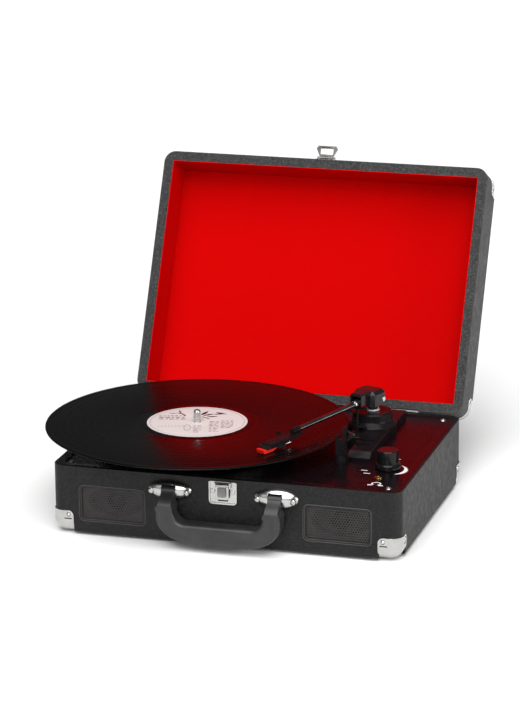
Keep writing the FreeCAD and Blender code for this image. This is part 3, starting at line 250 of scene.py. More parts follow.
def vinyl():
    """Pressed grooves: rings that follow the radius, with plainer bands between the tracks."""
    look = Look("vinyl", Anisotropic=0.6, Specular_IOR_Level=0.09)
    flat = look.add("VectorMath", {0: look.place, 1: (1, 1, 0)}, operation="MULTIPLY").outputs[0]
    radius = look.add("VectorMath", {0: flat}, operation="LENGTH").outputs["Value"]
    bands = look.add("TexNoise", {"W": radius, "Scale": 260.0, "Detail": 4.0, "Roughness": 0.75},
                     noise_dimensions="1D").outputs["Fac"]
    fine = look.add("TexNoise", {"W": radius, "Scale": 1500.0, "Detail": 2.0},
                    noise_dimensions="1D").outputs["Fac"]
    look.set("Base Color", look.mix(
        look.span(bands, 0.35, 0.7), (0.0012, 0.0011, 0.0012), (0.0028, 0.0025, 0.0026)
    ))
    grooved = look.span(radius, mm(60), mm(61.5))
    rough = look.span(bands, 0.35, 0.65, 0.12, 0.32)
    look.set("Roughness", look.span(grooved, 0, 1, 0.06, rough))
    look.set("Tangent", look.add("Tangent", direction_type="RADIAL", axis="Z").outputs[0])
    look.bump(fine, 0.03)
    return look.material


def paper():
    """The record label's matt paper."""
    look = Look("label_paper", Specular_IOR_Level=0.35)
    fibre = look.noise(0.9, 4, 0.7)
    look.set("Base Color", look.mix(
        look.span(fibre, 0.3, 0.7), (0.54, 0.48, 0.465), (0.595, 0.535, 0.52)
    ))
    look.set("Roughness", look.span(fibre, 0.3, 0.7, 0.5, 0.65))
    look.bump(fibre, 0.01)
    return look.material


def rubber(name, colour):
    """Dull black rubber with dust in its pores."""
    look = Look(name, Specular_IOR_Level=0.3)
    worn(look, colour, tuple(c * 1.6 for c in colour), 0.62, 0.78, 5)
    look.bump(look.noise(0.6, 2), 0.02)
    return look.material


def plain_ink(name, colour):
    """Printed marks and shadowed gaps, a little uneven."""
    look = Look(name, Roughness=0.5)
    look.set("Base Color", look.mix(
        look.span(look.noise(0.6, 2), 0.3, 0.7), colour, tuple(c * 0.86 for c in colour)
    ))
    return look.material


LOOKS = {
    "leatherette": leather("leatherette", (0.006, 0.0055, 0.0058), (0.066, 0.064, 0.065)),
    "deck_black": moulded(
        "deck_black", (0.0030, 0.0018, 0.0025), (0.0048, 0.0030, 0.0042), 0.28, 0.3, 0.004,
        Specular_IOR_Level=0.15,
    ),
    "board_brown": wood_board("board_brown", (0.20, 0.125, 0.07), (0.30, 0.2, 0.12)),
    "corner_wood": wood_board("corner_wood", (0.42, 0.29, 0.17), (0.56, 0.42, 0.27)),
    "foot_rubber": rubber("foot_rubber", (0.018, 0.018, 0.018)),
    "screw_steel": metal("screw_steel", (0.50, 0.50, 0.51), (0.62, 0.62, 0.63), 0.26),
    "bright_nickel": metal("bright_nickel", (0.45, 0.445, 0.435), (0.55, 0.545, 0.535), 0.2),
    "grille_black": moulded("grille_black", (0.021, 0.017, 0.017), (0.032, 0.027, 0.027), 0.42),
    "driver_frame": moulded("driver_frame", (0.045, 0.042, 0.042), (0.06, 0.056, 0.055), 0.5),
    "driver_paper": moulded(
        "driver_paper", (0.012, 0.011, 0.011), (0.020, 0.019, 0.018), 0.6, 0.8, 0.05
    ),
    "panel_plastic": moulded("panel_plastic", (0.016, 0.016, 0.017), (0.024, 0.024, 0.025), 0.5),
    "socket_metal": metal("socket_metal", (0.72, 0.50, 0.18), (0.86, 0.66, 0.30), 0.2),
    "board_green": moulded("board_green", (0.02, 0.10, 0.045), (0.035, 0.14, 0.06), 0.4),
    "pot_metal": metal("pot_metal", (0.55, 0.55, 0.56), (0.66, 0.66, 0.67), 0.3),
    "platter_metal": moulded("platter_metal", (0.016, 0.016, 0.017), (0.026, 0.026, 0.027), 0.36),
    "mat_rubber": rubber("mat_rubber", (0.016, 0.016, 0.017)),
    "clip_plastic": moulded("clip_plastic", (0.02, 0.02, 0.021), (0.03, 0.03, 0.031), 0.45),
    "vinyl": vinyl(),
    "label_paper": paper(),
    "motor_metal": metal("motor_metal", (0.50, 0.50, 0.51), (0.60, 0.60, 0.61), 0.35),
    "pulley_brass": metal("pulley_brass", (0.66, 0.47, 0.17), (0.78, 0.6, 0.26), 0.25),
    "belt_rubber": rubber("belt_rubber", (0.012, 0.012, 0.012)),
    "arm_plastic": moulded(
        "arm_plastic", (0.0052, 0.0040, 0.0047), (0.0085, 0.0066, 0.0076), 0.3, 0.45, 0.008,
        Specular_IOR_Level=0.1,
    ),
    "arm_gloss": gloss("arm_gloss", (0.008, 0.0062, 0.007), (0.012, 0.0095, 0.0105), 0.2),
    "arm_chrome": metal("arm_chrome", (0.22, 0.21, 0.215), (0.30, 0.29, 0.295), 0.14),
    "collar_white": moulded("collar_white", (0.78, 0.77, 0.76), (0.86, 0.85, 0.84), 0.35),
    "cartridge_plastic": gloss("cartridge_plastic", (0.010, 0.010, 0.011), (0.016, 0.016, 0.017), 0.26),
    "stylus_red": moulded("stylus_red", (0.66, 0.010, 0.004), (0.74, 0.016, 0.006), 0.35),
    "knob_gloss": gloss("knob_gloss", (0.004, 0.004, 0.0045), (0.007, 0.0068, 0.0075), 0.14),
    "handle_plastic": moulded(
        "handle_plastic", (0.013, 0.0125, 0.013), (0.024, 0.023, 0.024), 0.44, 0.9, 0.03
    ),
    "red_lining": felt_red(),
}
# The same leatherette as the lid's, painted several times darker on the case, as painted shade on its
# walls.
CASE_LEATHER_SHADED = leather("case_leatherette_shaded", (0.0035, 0.0032, 0.0034), (0.021, 0.0198, 0.0202))
HINGE_STEEL = metal("hinge_steel", (0.10, 0.095, 0.095), (0.17, 0.16, 0.16), 0.3)
HASP_STEEL = metal("hasp_steel", (0.15, 0.14, 0.14), (0.24, 0.23, 0.23), 0.16)
WHITE_INK = plain_ink("white_ink", (0.80, 0.80, 0.80))
# Dark colour for real seams and for painted shade in gaps and creases.
DARK_SEAM_AND_SHADE = plain_ink("dark_seam_and_shade", (0.03, 0.03, 0.03))
GREY_PANEL = metal("grey_panel", (0.16, 0.155, 0.15), (0.24, 0.235, 0.23), 0.3)
LABEL_INK = plain_ink("label_ink", (0.035, 0.006, 0.012))
PALE_INK = plain_ink("pale_ink", (0.19, 0.11, 0.125))


# ---- pieces ----------------------------------------------------------------------------------

def add_piece(name, mesh, body, slot, material=None, at=None):
    """A new piece on a body, at a place (Vector) or a pose (Matrix)."""
    piece = bpy.data.objects.new(name, mesh)
    bpy.context.scene.collection.objects.link(piece)
    if isinstance(at, Matrix):
        piece.matrix_world = at
    elif at is not None:
        piece.location = at
    mesh.materials.clear()
    mesh.materials.append(material or LOOKS[slot])
    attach(piece, body)
    return piece


def apply_modifiers(piece):
    """Makes the piece's modifiers part of its mesh."""
    graph = bpy.context.evaluated_depsgraph_get()
    mesh = bpy.data.meshes.new_from_object(piece.evaluated_get(graph), depsgraph=graph)
    piece.modifiers.clear()
    piece.data = mesh


def edged(node, width, material):
    """The CAD node's shape with welded faces, softened edges and even shading."""
    bm = bmesh.new()
    bm.from_mesh(NODES[node].data)
    bmesh.ops.remove_doubles(bm, verts=bm.verts, dist=2e-6)
    bmesh.ops.dissolve_limit(
        bm, angle_limit=math.radians(0.6), verts=bm.verts, edges=bm.edges,
        delimit={"NORMAL"},
    )
    for face in bm.faces:
        face.smooth = True
    mesh = bpy.data.meshes.new(node + "_finished")
    bm.to_mesh(mesh)
    bm.free()
    piece = bpy.data.objects.new(node + "_finished", mesh)
    bpy.context.scene.collection.objects.link(piece)
    bevel = piece.modifiers.new("Edges", "BEVEL")
    bevel.width, bevel.segments = mm(width), 2
    bevel.limit_method, bevel.angle_limit = "ANGLE", math.radians(28)
    bevel.miter_outer = "MITER_ARC"
    shading = piece.modifiers.new("Shading", "WEIGHTED_NORMAL")
    shading.keep_sharp, shading.weight = True, 60
    apply_modifiers(piece)
    piece.data.materials.clear()
    piece.data.materials.append(material or LOOKS[SLOT_OF[node]])
    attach(piece, BODY_OF[node])
    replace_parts(piece, node)


def finish_mesh(bm, name, smooth=True):
    """The mesh of a bmesh, with its faces turned outward."""
    bmesh.ops.recalc_face_normals(bm, faces=bm.faces)
    for face in bm.faces:
        face.smooth = smooth
    mesh = bpy.data.meshes.new(name)
    bm.to_mesh(mesh)
    bm.free()
    return mesh


def lathe(name, profile, segments, closed=True):
    """A mesh turned about +Z from (radius, height) pairs in millimetres."""
    bm = bmesh.new()
    rings = []
    turns = [2 * math.pi * step / segments for step in range(segments)]
    for radius, height in profile:
        if radius == 0:
            rings.append([bm.verts.new((0, 0, mm(height)))])
            continue
        rings.append([
            bm.verts.new((mm(radius) * math.cos(t), mm(radius) * math.sin(t), mm(height)))
            for t in turns
        ])
    for low, high in zip(rings, rings[1:] + rings[:1] if closed else rings[1:]):
        for step in range(segments):
            ring = [
                low[step % len(low)], low[(step + 1) % len(low)],
                high[(step + 1) % len(high)], high[step % len(high)],
            ]
            corners = list(dict.fromkeys(ring))
            if len(corners) > 2:
                bm.faces.new(corners)
    return finish_mesh(bm, name)


def sharp_edges(mesh, angle):
    """The mesh, shaded flat across edges sharper than the angle."""
    mesh.set_sharp_from_angle(angle=math.radians(angle))
    return mesh


# How wide each node's softened edges are; the rest have 0.15
EDGE_WIDTH = {
    "base_frame": 0.5, "deck_plate": 0.2, "handle_grip": 0.35, "lid_shell": 0.5,
    "lid_lining": 0.2, "arm_turret": 0.35, "arm_base": 0.3, "volume_knob": 0.3,
    "arm_housing": 0.35, "headshell": 0.25, "handle_brackets": 0.22, "latch_plate": 0.2,
    "latch_lever": 0.2, "hasp_loop": 0.3, "drive_belt": 0.1, "arm_tube": 0.1,
    "stylus": 0.1, "cartridge": 0.2,
}
MADE_HERE = {"record", "record_label", "speaker_grille_left", "speaker_grille_right"}
FINISH = {
    "base_frame": CASE_LEATHER_SHADED, "hasp_loop": HASP_STEEL, "hasp_plate": HASP_STEEL,
    "hinge_leaves_base": HINGE_STEEL, "hinge_leaves_lid": HINGE_STEEL,
}
for node in sorted(set(NODES) - MADE_HERE):
    edged(node, EDGE_WIDTH.get(node, 0.15), FINISH.get(node))


# ---- record and label ------------------------------------------------------------------------

RECORD_TOP = 90.5


def record():
    """A disc with a rim bead, a lead-in, a grooved band, a run-out and a land for the label."""
    top, middle, hole, land = RECORD_TOP, 89.55, 3.63, 52.5
    groove = top - 0.2
    band = groove + 0.05
    upper = [
        (hole, top), (land, top), (land + 1.4, groove), (60, groove), (60.4, band),
        (144.2, band), (144.8, groove), (146.2, top - 0.12), (148.3, top), (149.4, top - 0.03),
        (150.2, top - 0.22), (150.65, top - 0.55), (150.8, middle),
    ]
    lower = [(radius, 2 * middle - height) for radius, height in reversed(upper[:-1])]
    mesh = sharp_edges(lathe("record_disc", upper + lower, 256), 50)
    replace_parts(add_piece("record_disc", mesh, "turntable", "vinyl", at=SPINDLE), "record")


def label():
    """A paper disc with the shallow ring that the press leaves round the hole."""
    hole, edge, low, top = 3.66, 50, RECORD_TOP - 0.01, RECORD_TOP + 0.12
    profile = [
        (hole, low), (edge, low), (edge, top - 0.02), (edge - 0.1, top), (17.4, top),
        (17, top - 0.04), (16.4, top - 0.04), (16, top), (hole, top),
    ]
    mesh = sharp_edges(lathe("label_disc", profile, 192), 50)
    piece = add_piece("label_disc", mesh, "turntable", "label_paper", at=SPINDLE)
    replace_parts(piece, "record_label")


record()
label()


# ---- loudspeaker grilles ---------------------------------------------------------------------

def rounded_loop(width, height, corner, steps):
    """Points round a rounded rectangle that is centred on the origin."""
    points = []
    for quarter in range(4):
        side = 1 if quarter in (0, 3) else -1
        end = 1 if quarter in (0, 1) else -1
        for step in range(steps + 1):
            turn = math.radians(90 * quarter + 90 * step / steps)
            points.append((
                side * (width / 2 - corner) + corner * math.cos(turn),
                end * (height / 2 - corner) + corner * math.sin(turn),
            ))
    return points


def upright_ring(bm, width, height, corner, y, steps=8):
    """The vertices of a rounded rectangle that stands in the XZ plane."""
    return [
        bm.verts.new((mm(px), mm(y), mm(pz)))
        for px, pz in rounded_loop(width, height, corner, steps)
    ]


def bridge(bm, first, second):
    """The faces between two rings with the same number of vertices."""
    count = len(first)
    for step in range(count):
        bm.faces.new([
            first[step], first[(step + 1) % count], second[(step + 1) % count], second[step]
        ])


def perforated(width, height, corner, pitch=2.7, hole=1.05, border=1.6):
    """A flat sheet in X and Z with round holes in staggered rows, inside a rounded border."""
    bm = bmesh.new()
    row_step = pitch * math.sqrt(3) / 2
    rows, columns = int((height - 3) / row_step), int((width - 3) / pitch)
    cell, sides = pitch / math.sqrt(3), 12
    made = {}

    def shared(x, z):
        key = (round(x, 4), round(z, 4))
        if key not in made:
            made[key] = bm.verts.new((mm(x), 0, mm(z)))
        return made[key]

    def inside(x, z):
        reach_x, reach_z = width / 2 - border - abs(x), height / 2 - border - abs(z)
        if min(reach_x, reach_z) < 0:
            return False
        if max(reach_x, reach_z) >= corner:
            return True
        return math.hypot(corner - reach_x, corner - reach_z) <= corner

    for row in range(rows):
        z = (row - (rows - 1) / 2) * row_step
        for column in range(columns):
            x = (column - (columns - 1) / 2) * pitch + (pitch / 2 if row % 2 else 0) - pitch / 4
            if not inside(x, z):
                continue
            rim, inner = [], []
            for side in range(6):
                turn = math.radians(60 * side + 30)
                rim.append((x + cell * math.cos(turn), z + cell * math.sin(turn)))
            for step in range(sides):
                turn = math.radians(360 / sides * step + 30)
                inner.append(bm.verts.new((
                    mm(x + hole * math.cos(turn)), 0, mm(z + hole * math.sin(turn))
                )))
            for side in range(6):
                a, b, c = (inner[(side * 2 + step) % sides] for step in range(3))
                v1, v2 = shared(*rim[side]), shared(*rim[(side + 1) % 6])
                bm.faces.new([v1, v2, c, b])
                bm.faces.new([v1, b, a])
    return bm


# How far in from the grille's outline, the corner's radius and the depth, round the frame's bead
GRILLE_BEAD = (
    (0, 5, 3.4), (0, 5, 0.5), (0.25, 4.8, 0.1), (1.0, 4.2, 0.0), (1.3, 4.0, 0.15),
    (1.7, 3.8, 0.62), (1.7, 3.8, 1.0), (0.8, 4.4, 1.1), (0.8, 4.4, 3.4),
)


def grille(side, node):
    """A perforated sheet in a beaded frame."""
    low, high = box_mm(node)
    middle = (low + high) / 2
    width, height = high.x - low.x, high.z - low.z
    mesh = finish_mesh(perforated(width, height, 5), f"grille_sheet_{side}", False)
    piece = add_piece(
        f"grille_sheet_{side}", mesh, "case", "grille_black",
        at=mm(middle.x, low.y + 0.35, middle.z),
    )
    sheet = piece.modifiers.new("Sheet", "SOLIDIFY")
    sheet.thickness, sheet.offset = mm(0.6), 0
    apply_modifiers(piece)
    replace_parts(piece, node)
    bm = bmesh.new()
    rings = [
        upright_ring(bm, width - 2 * inset, height - 2 * inset, corner, depth)
        for inset, corner, depth in GRILLE_BEAD
    ]
    for first, second in zip(rings, rings[1:] + rings[:1]):
        bridge(bm, first, second)
    mesh = sharp_edges(finish_mesh(bm, f"grille_frame_{side}"), 50)
    add_piece(
        f"grille_frame_{side}", mesh, "case", "grille_black",
        at=mm(middle.x, low.y, middle.z),
    )


grille("left", "speaker_grille_left")
grille("right", "speaker_grille_right")


# ---- printed marks ---------------------------------------------------------------------------

def moved(points, x, y, degrees):
    """Points turned about the origin and then shifted."""
    cos, sin = math.cos(math.radians(degrees)), math.sin(math.radians(degrees))
    return [(x + px * cos - py * sin, y + px * sin + py * cos) for px, py in points]


def bar(x, y, length, width, degrees=0):
    """A stroke with round ends, centred on a point."""
    points = []
    for end in (1, -1):
        for step in range(6):
            angle = math.radians(36 * step - 90 * end)
            points.append((
                end * (length - width) / 2 + width / 2 * math.cos(angle), width / 2 * math.sin(angle)
            ))
    return moved(points, x, y, degrees)


def leaf(x, y, length, width, degrees):
    """A pointed oval that starts at a point."""
    upper = [
        (length * step / 8, width / 2 * math.sin(math.pi * (step / 8) ** 0.8)) for step in range(9)
    ]
    lower = [(px, -py) for px, py in reversed(upper[1:-1])]
    return moved(upper + lower, x, y, degrees)


def arc(x, y, inner, start, end, thick, squash=1.0):
    """A curved stroke; thick gives its width from 0, where it starts, to 1, where it ends."""
    outside, inside = [], []
    steps = 28
    for step in range(steps + 1):
        angle = math.radians(start + (end - start) * step / steps)
        for side, radius in ((outside, inner + thick(step / steps)), (inside, inner)):
            side.append((x + radius * math.cos(angle) * squash, y + radius * math.sin(angle)))
    return outside + inside[::-1]


def even(thickness):
    """The width of a stroke that is the same all along."""
    return lambda share: thickness


def prints(name, outlines, height, body, slot, material, at=None):
    """Ink of a real thickness on a level face, from closed outlines in millimetres."""
    ink = 0.04
    bm = bmesh.new()
    for outline in outlines:
        low = [bm.verts.new((mm(x), mm(y), mm(height))) for x, y in outline]
        high = [bm.verts.new((mm(x), mm(y), mm(height + ink))) for x, y in outline]
        bridge(bm, low, high)
        bm.faces.new(high)
        bm.faces.new(low[::-1])
    return add_piece(name, finish_mesh(bm, name, False), body, slot, material, at)


def rows_of_marks(rng, left, right, top, step, count, width):
    """Short bars in rows, in place of small print."""
    shortest, longest, gap = 2.2, 6.0, (0.9, 1.6)
    marks = []
    for row in range(count):
        x = left
        y = top - row * step
        while x < right - 1.5:
            length = min(rng.uniform(shortest, longest), right - x)
            marks.append(bar(x + length / 2, y, length, width))
            x += length + rng.uniform(*gap)
    return marks


def label_print():
    """A spray of leaves over the hole, blocks of marks beside it, and a thin border."""
    rng = random.Random(45)
    upright = Matrix.Translation(SPINDLE) @ turned(16, "Z")
    surface = RECORD_TOP + 0.12
    dark = [
        bar(8, 13.5, 11, 1.3, -45), leaf(3.5, 22, 15, 4.2, 62), leaf(5, 20, 14, 3.6, 28),
        leaf(9, 16, 12, 3.2, 8), leaf(16, 24, 13, 3.0, 12), leaf(18, 31, 13, 3.2, -32),
    ]
    dark += [arc(-9.4, -19.6, 8.6, 0, 360, even(0.9), squash=0.36)]
    pale = rows_of_marks(rng, -38.5, -10.5, 20, 5.2, 3, 2.4)
    pale += rows_of_marks(rng, 12, 21.5, 0, 4.6, 8, 1.6)
    pale += rows_of_marks(rng, 23.5, 36, 2, 4.4, 6, 1.6)
    pale += rows_of_marks(rng, -3.5, 4.5, -13, 4.2, 6, 1.4)
    pale += [bar(-38 + 3.4 * dot, -14.3, 1.7, 1.7) for dot in range(8)]
    pale += [
        leaf(-12, 20, 10, 2.6, 118), leaf(-14, 26, 9, 2.4, 150), leaf(-21, 28, 9, 2.2, 172),
        leaf(-17, 28, 12, 2.4, 100),
    ]
    border = [arc(0, 0, 46.8, start, start + 180, even(0.35)) for start in (0, 180)]
    prints("label_spray", dark, surface, "turntable", "label_paper", LABEL_INK, upright)
    prints("label_marks", pale, surface, "turntable", "label_paper", PALE_INK, upright)
    prints("label_border", border, surface, "turntable", "label_paper", PALE_INK, upright)


def volume_wedge(share):
    """The width of the crescent round the volume knob, growing from soft to loud."""
    crest = math.sin(math.pi * min(share, 0.97)) ** 0.8
    return 0.4 + 5.2 * crest * (0.35 + 0.65 * share)


def deck_print():
    """The volume wedge, its ticks, two dashes, and a sign of headphones by their socket."""
    top = box_mm("deck_plate")[1].z
    sign_x, sign_y = 144.6, -102
    marks = [
        arc(141.5, -55.5, 18.6, 46, -46, volume_wedge),
        bar(148, -22.8, 1.8, 1.4), bar(166.6, -60.5, 4.6, 0.9, 8),
        bar(123.3, -65, 6.6, 1.5), bar(127.8, -73.5, 7.0, 1.5),
        arc(sign_x, sign_y, 3.4, -60, 240, even(1.4)),
        bar(sign_x - 5.4, sign_y - 4.6, 5.0, 2.4), bar(sign_x + 5.4, sign_y - 4.6, 5.0, 2.4),
    ]
    prints("deck_marks", marks, top, "case", "deck_black", WHITE_INK)


def deck_trim():
    """The black edge that turns the deck's finish out over the top of the case walls."""
    low, high = box_mm("base_frame")
    middle = (low + high) / 2
    bead = (
        (10.4, -0.7, 2), (10.2, 0.02, 2), (9.9, 0.14, 2.2), (3.4, 0.14, 9), (2.6, 0.1, 9.6),
        (2.3, -0.02, 9.8), (3, -0.1, 9),
    )
    bm = bmesh.new()
    rings = []
    for inset, height, corner in bead:
        outline = rounded_loop(high.x - low.x - 2 * inset, high.y - low.y - 2 * inset, corner, 8)
        rings.append([bm.verts.new(mm(px, py, high.z + height)) for px, py in outline])
    for first, second in zip(rings, rings[1:] + rings[:1]):
        bridge(bm, first, second)
    mesh = sharp_edges(finish_mesh(bm, "deck_trim"), 40)
    add_piece("deck_trim", mesh, "case", "deck_black", at=mm(middle.x, middle.y, 0))


label_print()
deck_print()
deck_trim()


# ---- small fittings --------------------------------------------------------------------------

def ferrule():
    """The pale ring where the tube leaves the housing."""
    mesh = lathe("arm_ferrule", [
        (3.32, 1.2), (3.5, 1.4), (3.5, 5.7), (3.3, 5.95), (2.7, 5.98), (2.7, 1.2),
    ], 48)
    at = ARM @ Matrix.Translation(mm(27.02, 0, 0)) @ ALONG_X
    add_piece("arm_ferrule", sharp_edges(mesh, 40), BODY_OF["arm_tube"], "screw_steel", at=at)


def cartridge_pins():
    """Bright clips on the four pins at the back of the cartridge, with their leads' ends."""
    profile = [(0.62, 0), (0.85, 0.2), (0.9, 3.2), (0.72, 3.5), (0.72, 9.6), (0.62, 9.6)]
    for index, (y, z) in enumerate((y, z) for y in (-3.2, 3.2) for z in (-6.6, -8.9)):
        name = f"cartridge_clip_{index}"
        mesh = sharp_edges(lathe(name, profile, 20), 40)
        at = SHELL @ Matrix.Translation(mm(12.2, y, z)) @ ALONG_X
        add_piece(name, mesh, BODY_OF["cartridge"], "screw_steel", at=at)


def guard_crease_shade():
    """A dark line painted under each nail of the lower corner guards, as the shade of a pressed crease.
    """
    bm = bmesh.new()
    long, tall, proud, height = 7.5, 1.3, 0.06, 16.4
    side_x, front_y, nail_x, nail_y = 175.8, 129.8, 158.6, 112.6
    for side in (-1, 1):
        for end in (-1, 1):
            on_front = (side * nail_x, end * front_y), (long, 2 * proud)
            on_side = (side * side_x, end * nail_y), (proud, long)
            for (x, y), (wide, deep) in (on_front, on_side):
                made = bmesh.ops.create_cube(bm, size=1)["verts"]
                bmesh.ops.scale(bm, vec=mm(wide, deep, tall), verts=made)
                bmesh.ops.translate(bm, vec=mm(x, y, height), verts=made)
    mesh = finish_mesh(bm, "base_guard_creases", False)
    piece = add_piece("base_guard_creases", mesh, "case", "bright_nickel", DARK_SEAM_AND_SHADE)
    ends = piece.modifiers.new("Ends", "BEVEL")
    ends.width, ends.segments, ends.limit_method = mm(0.5), 3, "ANGLE"


def cord_mesh(name, points, radius, closed, flat=1.0, sides=8):
    """A thin bead along a path that lies level or in the XZ plane, in millimetres."""
    bm = bmesh.new()
    count = len(points)
    level = abs(points[0].z - points[count // 2].z) < 1e-6
    axis = Vector((0, 0, 1)) if level else Vector((0, 1, 0))
    rings = []
    for index, point in enumerate(points):
        before = points[(index - 1) % count] if closed or index else point
        after = points[(index + 1) % count] if closed or index < count - 1 else point
        across = (after - before).normalized().cross(axis)
        ring = []
        for side in range(sides):
            turn = 2 * math.pi * side / sides
            place = point + across * radius * math.cos(turn) + axis * radius * flat * math.sin(turn)
            ring.append(bm.verts.new(place * 0.001))
        rings.append(ring)
    for first, second in zip(rings, rings[1:] + (rings[:1] if closed else [])):
        bridge(bm, first, second)
    if not closed:
        bm.faces.new(rings[0])
        bm.faces.new(rings[-1])
    return finish_mesh(bm, name)


def painted_shade_rings(name, places, radius, bead):
    """Thin dark beads painted round rivet and nail heads on the case's front, as the shade in the gaps
    there.
    """
    bm = bmesh.new()
    for x, y, z in places:
        path = [
            Vector((x + radius * math.cos(t), y, z + radius * math.sin(t)))
            for t in (2 * math.pi * step / 24 for step in range(24))
        ]
        ring = cord_mesh(name, path, bead, True, sides=6)
        bm.from_mesh(ring)
        bpy.data.meshes.remove(ring)
    add_piece(name, finish_mesh(bm, name), "case", "bright_nickel", DARK_SEAM_AND_SHADE)


def rivet_caps(places):
    """The rounded heads that stand on bosses at the ends of the handle's brackets."""
    profile = [(0, -3), (2.6, -3), (2.6, 0.5), (2.35, 0.85), (1.5, 1.1), (0, 1.2)]
    for index, place in enumerate(places):
        name = f"rivet_cap_{index}"
        mesh = sharp_edges(lathe(name, profile, 40, closed=False), 40)
        at = Matrix.Translation(mm(*place)) @ FACING_FRONT
        add_piece(name, mesh, "case", "bright_nickel", at=at)


def grille_gap_shade(side):
    """A dark bead painted between a grille's edge and the covering folded into its hole, as the shade
    in the gap there.
    """
    low, high = box_mm(f"speaker_grille_{side}")
    middle = (low + high) / 2
    loop = [
        Vector((middle.x + px, CASE_FRONT - 0.05, middle.z + pz))
        for px, pz in rounded_loop(high.x - low.x + 0.1, high.z - low.z + 0.1, 5, 6)
    ]
    mesh = cord_mesh(f"grille_gap_shade_{side}", loop, 0.55, True)
    add_piece(f"grille_gap_shade_{side}", mesh, "case", "grille_black", DARK_SEAM_AND_SHADE)


def lid_seam():
    """The folded edge of the covering, a dark bead round the lid's meeting edge."""
    low, high = box_mm("base_frame")
    outline = rounded_loop(high.x - low.x - 1, high.y - low.y - 1, 11.6, 10)
    loop = [Vector((px, py, high.z + 0.6)) for px, py in outline]
    mesh = cord_mesh("lid_seam", loop, 0.42, True)
    add_piece("lid_seam", mesh, "lid", "leatherette", DARK_SEAM_AND_SHADE, at=LID)


def handle_seam():
    """The moulding line that follows the grip's outer edge on its front."""
    low, high = box_mm("handle_grip")
    end, bottom = high.x - 4.6, low.z
    left = [
        (-end, 41), (-end, bottom + 19), (-end + 3.5, bottom + 13.5), (-end + 9, bottom + 9.6),
        (-43, bottom + 7.6), (-30, bottom + 6), (-14, bottom + 5),
    ]
    right = [(-x, z) for x, z in reversed(left)]
    points = [Vector((x, low.y + 0.08, z)) for x, z in left + right]
    mesh = cord_mesh("handle_seam", points, 0.3, False, 0.4)
    add_piece("handle_seam", mesh, "handle", "handle_plastic", DARK_SEAM_AND_SHADE)


def latch_inset():
    """The dark sunk panel in the lever's face."""
    low, high = box_mm("latch_lever")
    wide, tall = (high.x - low.x) * 0.62, (high.z - low.z) * 0.56
    middle = (low + high) / 2
    bm = bmesh.new()
    rings = [
        upright_ring(bm, wide, tall, 0.8, 0.3, 4), upright_ring(bm, wide, tall, 0.8, 0, 4),
        upright_ring(bm, wide - 0.7, tall - 0.7, 0.6, -0.06, 4),
    ]
    for first, second in zip(rings, rings[1:]):
        bridge(bm, first, second)
    bm.faces.new(rings[0])
    bm.faces.new(rings[-1])
    mesh = sharp_edges(finish_mesh(bm, "latch_inset"), 40)
    at = mm(middle.x, low.y - 0.02, middle.z - 0.4)
    add_piece("latch_inset", mesh, "latch", "bright_nickel", GREY_PANEL, at=at)


BRACKET_X, RIVET_OUT, RIVET_Z = 53.3, 17.7, 54.3
RIVETS = [
    (side * BRACKET_X + end * RIVET_OUT, RIVET_Z) for side in (-1, 1) for end in (-1, 1)
]
NAILS = [(side * 158, 20.5) for side in (-1, 1)]

ferrule()
cartridge_pins()
guard_crease_shade()
lid_seam()
handle_seam()
latch_inset()
grille_gap_shade("left")
grille_gap_shade("right")
rivet_caps([(x, CASE_FRONT - 5.4, z) for x, z in RIVETS])
painted_shade_rings("rivet_gap_shade", [(x, CASE_FRONT - 5.5, z) for x, z in RIVETS], 2.85, 0.3)
painted_shade_rings("nail_gap_shade", [(x, CASE_FRONT - 0.85, z) for x, z in NAILS], 2.1, 0.24)


# ---- studio ----------------------------------------------------------------------------------

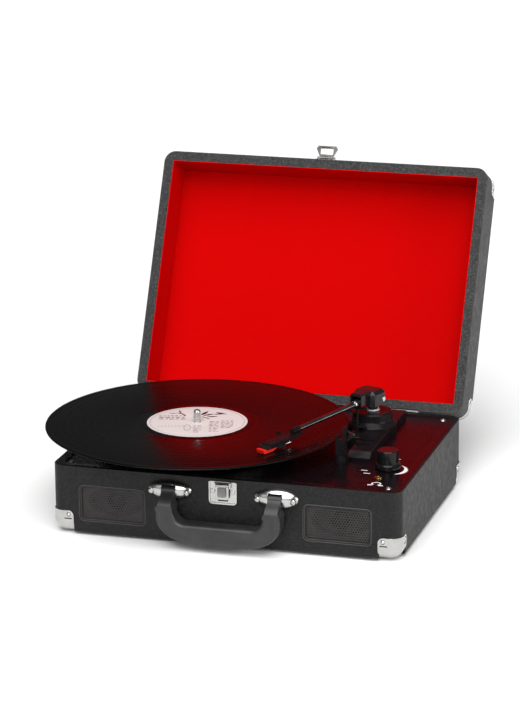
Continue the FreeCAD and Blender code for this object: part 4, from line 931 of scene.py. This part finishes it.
def studio_floor():
    """Pale paper under the case, much wider than the picture."""
    bm = bmesh.new()
    bmesh.ops.create_grid(bm, x_segments=2, y_segments=2, size=14)
    floor = bpy.data.objects.new("studio_floor", finish_mesh(bm, "studio_floor"))
    bpy.context.scene.collection.objects.link(floor)
    look = Look("studio_paper", Roughness=0.9, Specular_IOR_Level=0.1)
    look.set("Base Color", look.mix(look.noise(400, 2), (0.86, 0.86, 0.86), (0.875, 0.875, 0.87)))
    floor.data.materials.append(look.material)


def hang(name, light, toward, place=(0, 0, 0)):
    """Puts a lamp in the scene, shining in a direction."""
    lamp = bpy.data.objects.new(name, light)
    lamp.location = place
    lamp.rotation_euler = toward.to_track_quat("-Z", "Y").to_euler()
    bpy.context.scene.collection.objects.link(lamp)


def softbox(name, place, size, power):
    """A rectangular light aimed at the middle of the player."""
    light = bpy.data.lights.new(name, "AREA")
    light.shape, light.size, light.size_y = "RECTANGLE", *size
    light.energy = power
    hang(name, light, Vector((0, 0.02, 0.12)) - Vector(place), place)


def wide_sky(name, energy, source, spread):
    """A very wide, soft source far away, which lights floor and object evenly."""
    light = bpy.data.lights.new(name, "SUN")
    light.energy, light.angle = energy, math.radians(spread)
    hang(name, light, -Vector(source))


def studio():
    """White paper, two very wide skies, two softboxes and a dim surround."""
    studio_floor()
    wide_sky("overhead", 3.2, (0.08, -0.42, 0.90), 60)
    wide_sky("front", 1.6, (0.10, -0.87, 0.49), 40)
    softbox("front_left", (-1.9, -2.6, 1.1), (1.4, 1.2), 4)
    softbox("side_right", (2.6, -0.7, 0.8), (1.2, 1.2), 34)
    world = bpy.data.worlds.new("studio")
    world.use_nodes = True
    background = world.node_tree.nodes["Background"]
    background.inputs["Color"].default_value = (1, 1, 1, 1)
    background.inputs["Strength"].default_value = 0.10
    bpy.context.scene.world = world
    bpy.context.scene.view_settings.view_transform = "Standard"


def camera():
    """A long lens to the right of the case and above it, almost level from side to side."""
    data = bpy.data.cameras.new("photo")
    data.lens, data.sensor_width = 158.92, 36
    data.clip_start, data.clip_end = 0.1, 60
    tilt, roll, pan = 73.8342, 0.4423, 16.3617
    holder = bpy.data.objects.new("photo", data)
    holder.location = (0.85522, -2.89012, 1.02699)
    holder.rotation_euler = [math.radians(angle) for angle in (tilt, roll, pan)]
    bpy.context.scene.collection.objects.link(holder)
    bpy.context.scene.camera = holder


studio()
camera()
bpy.context.view_layer.update()
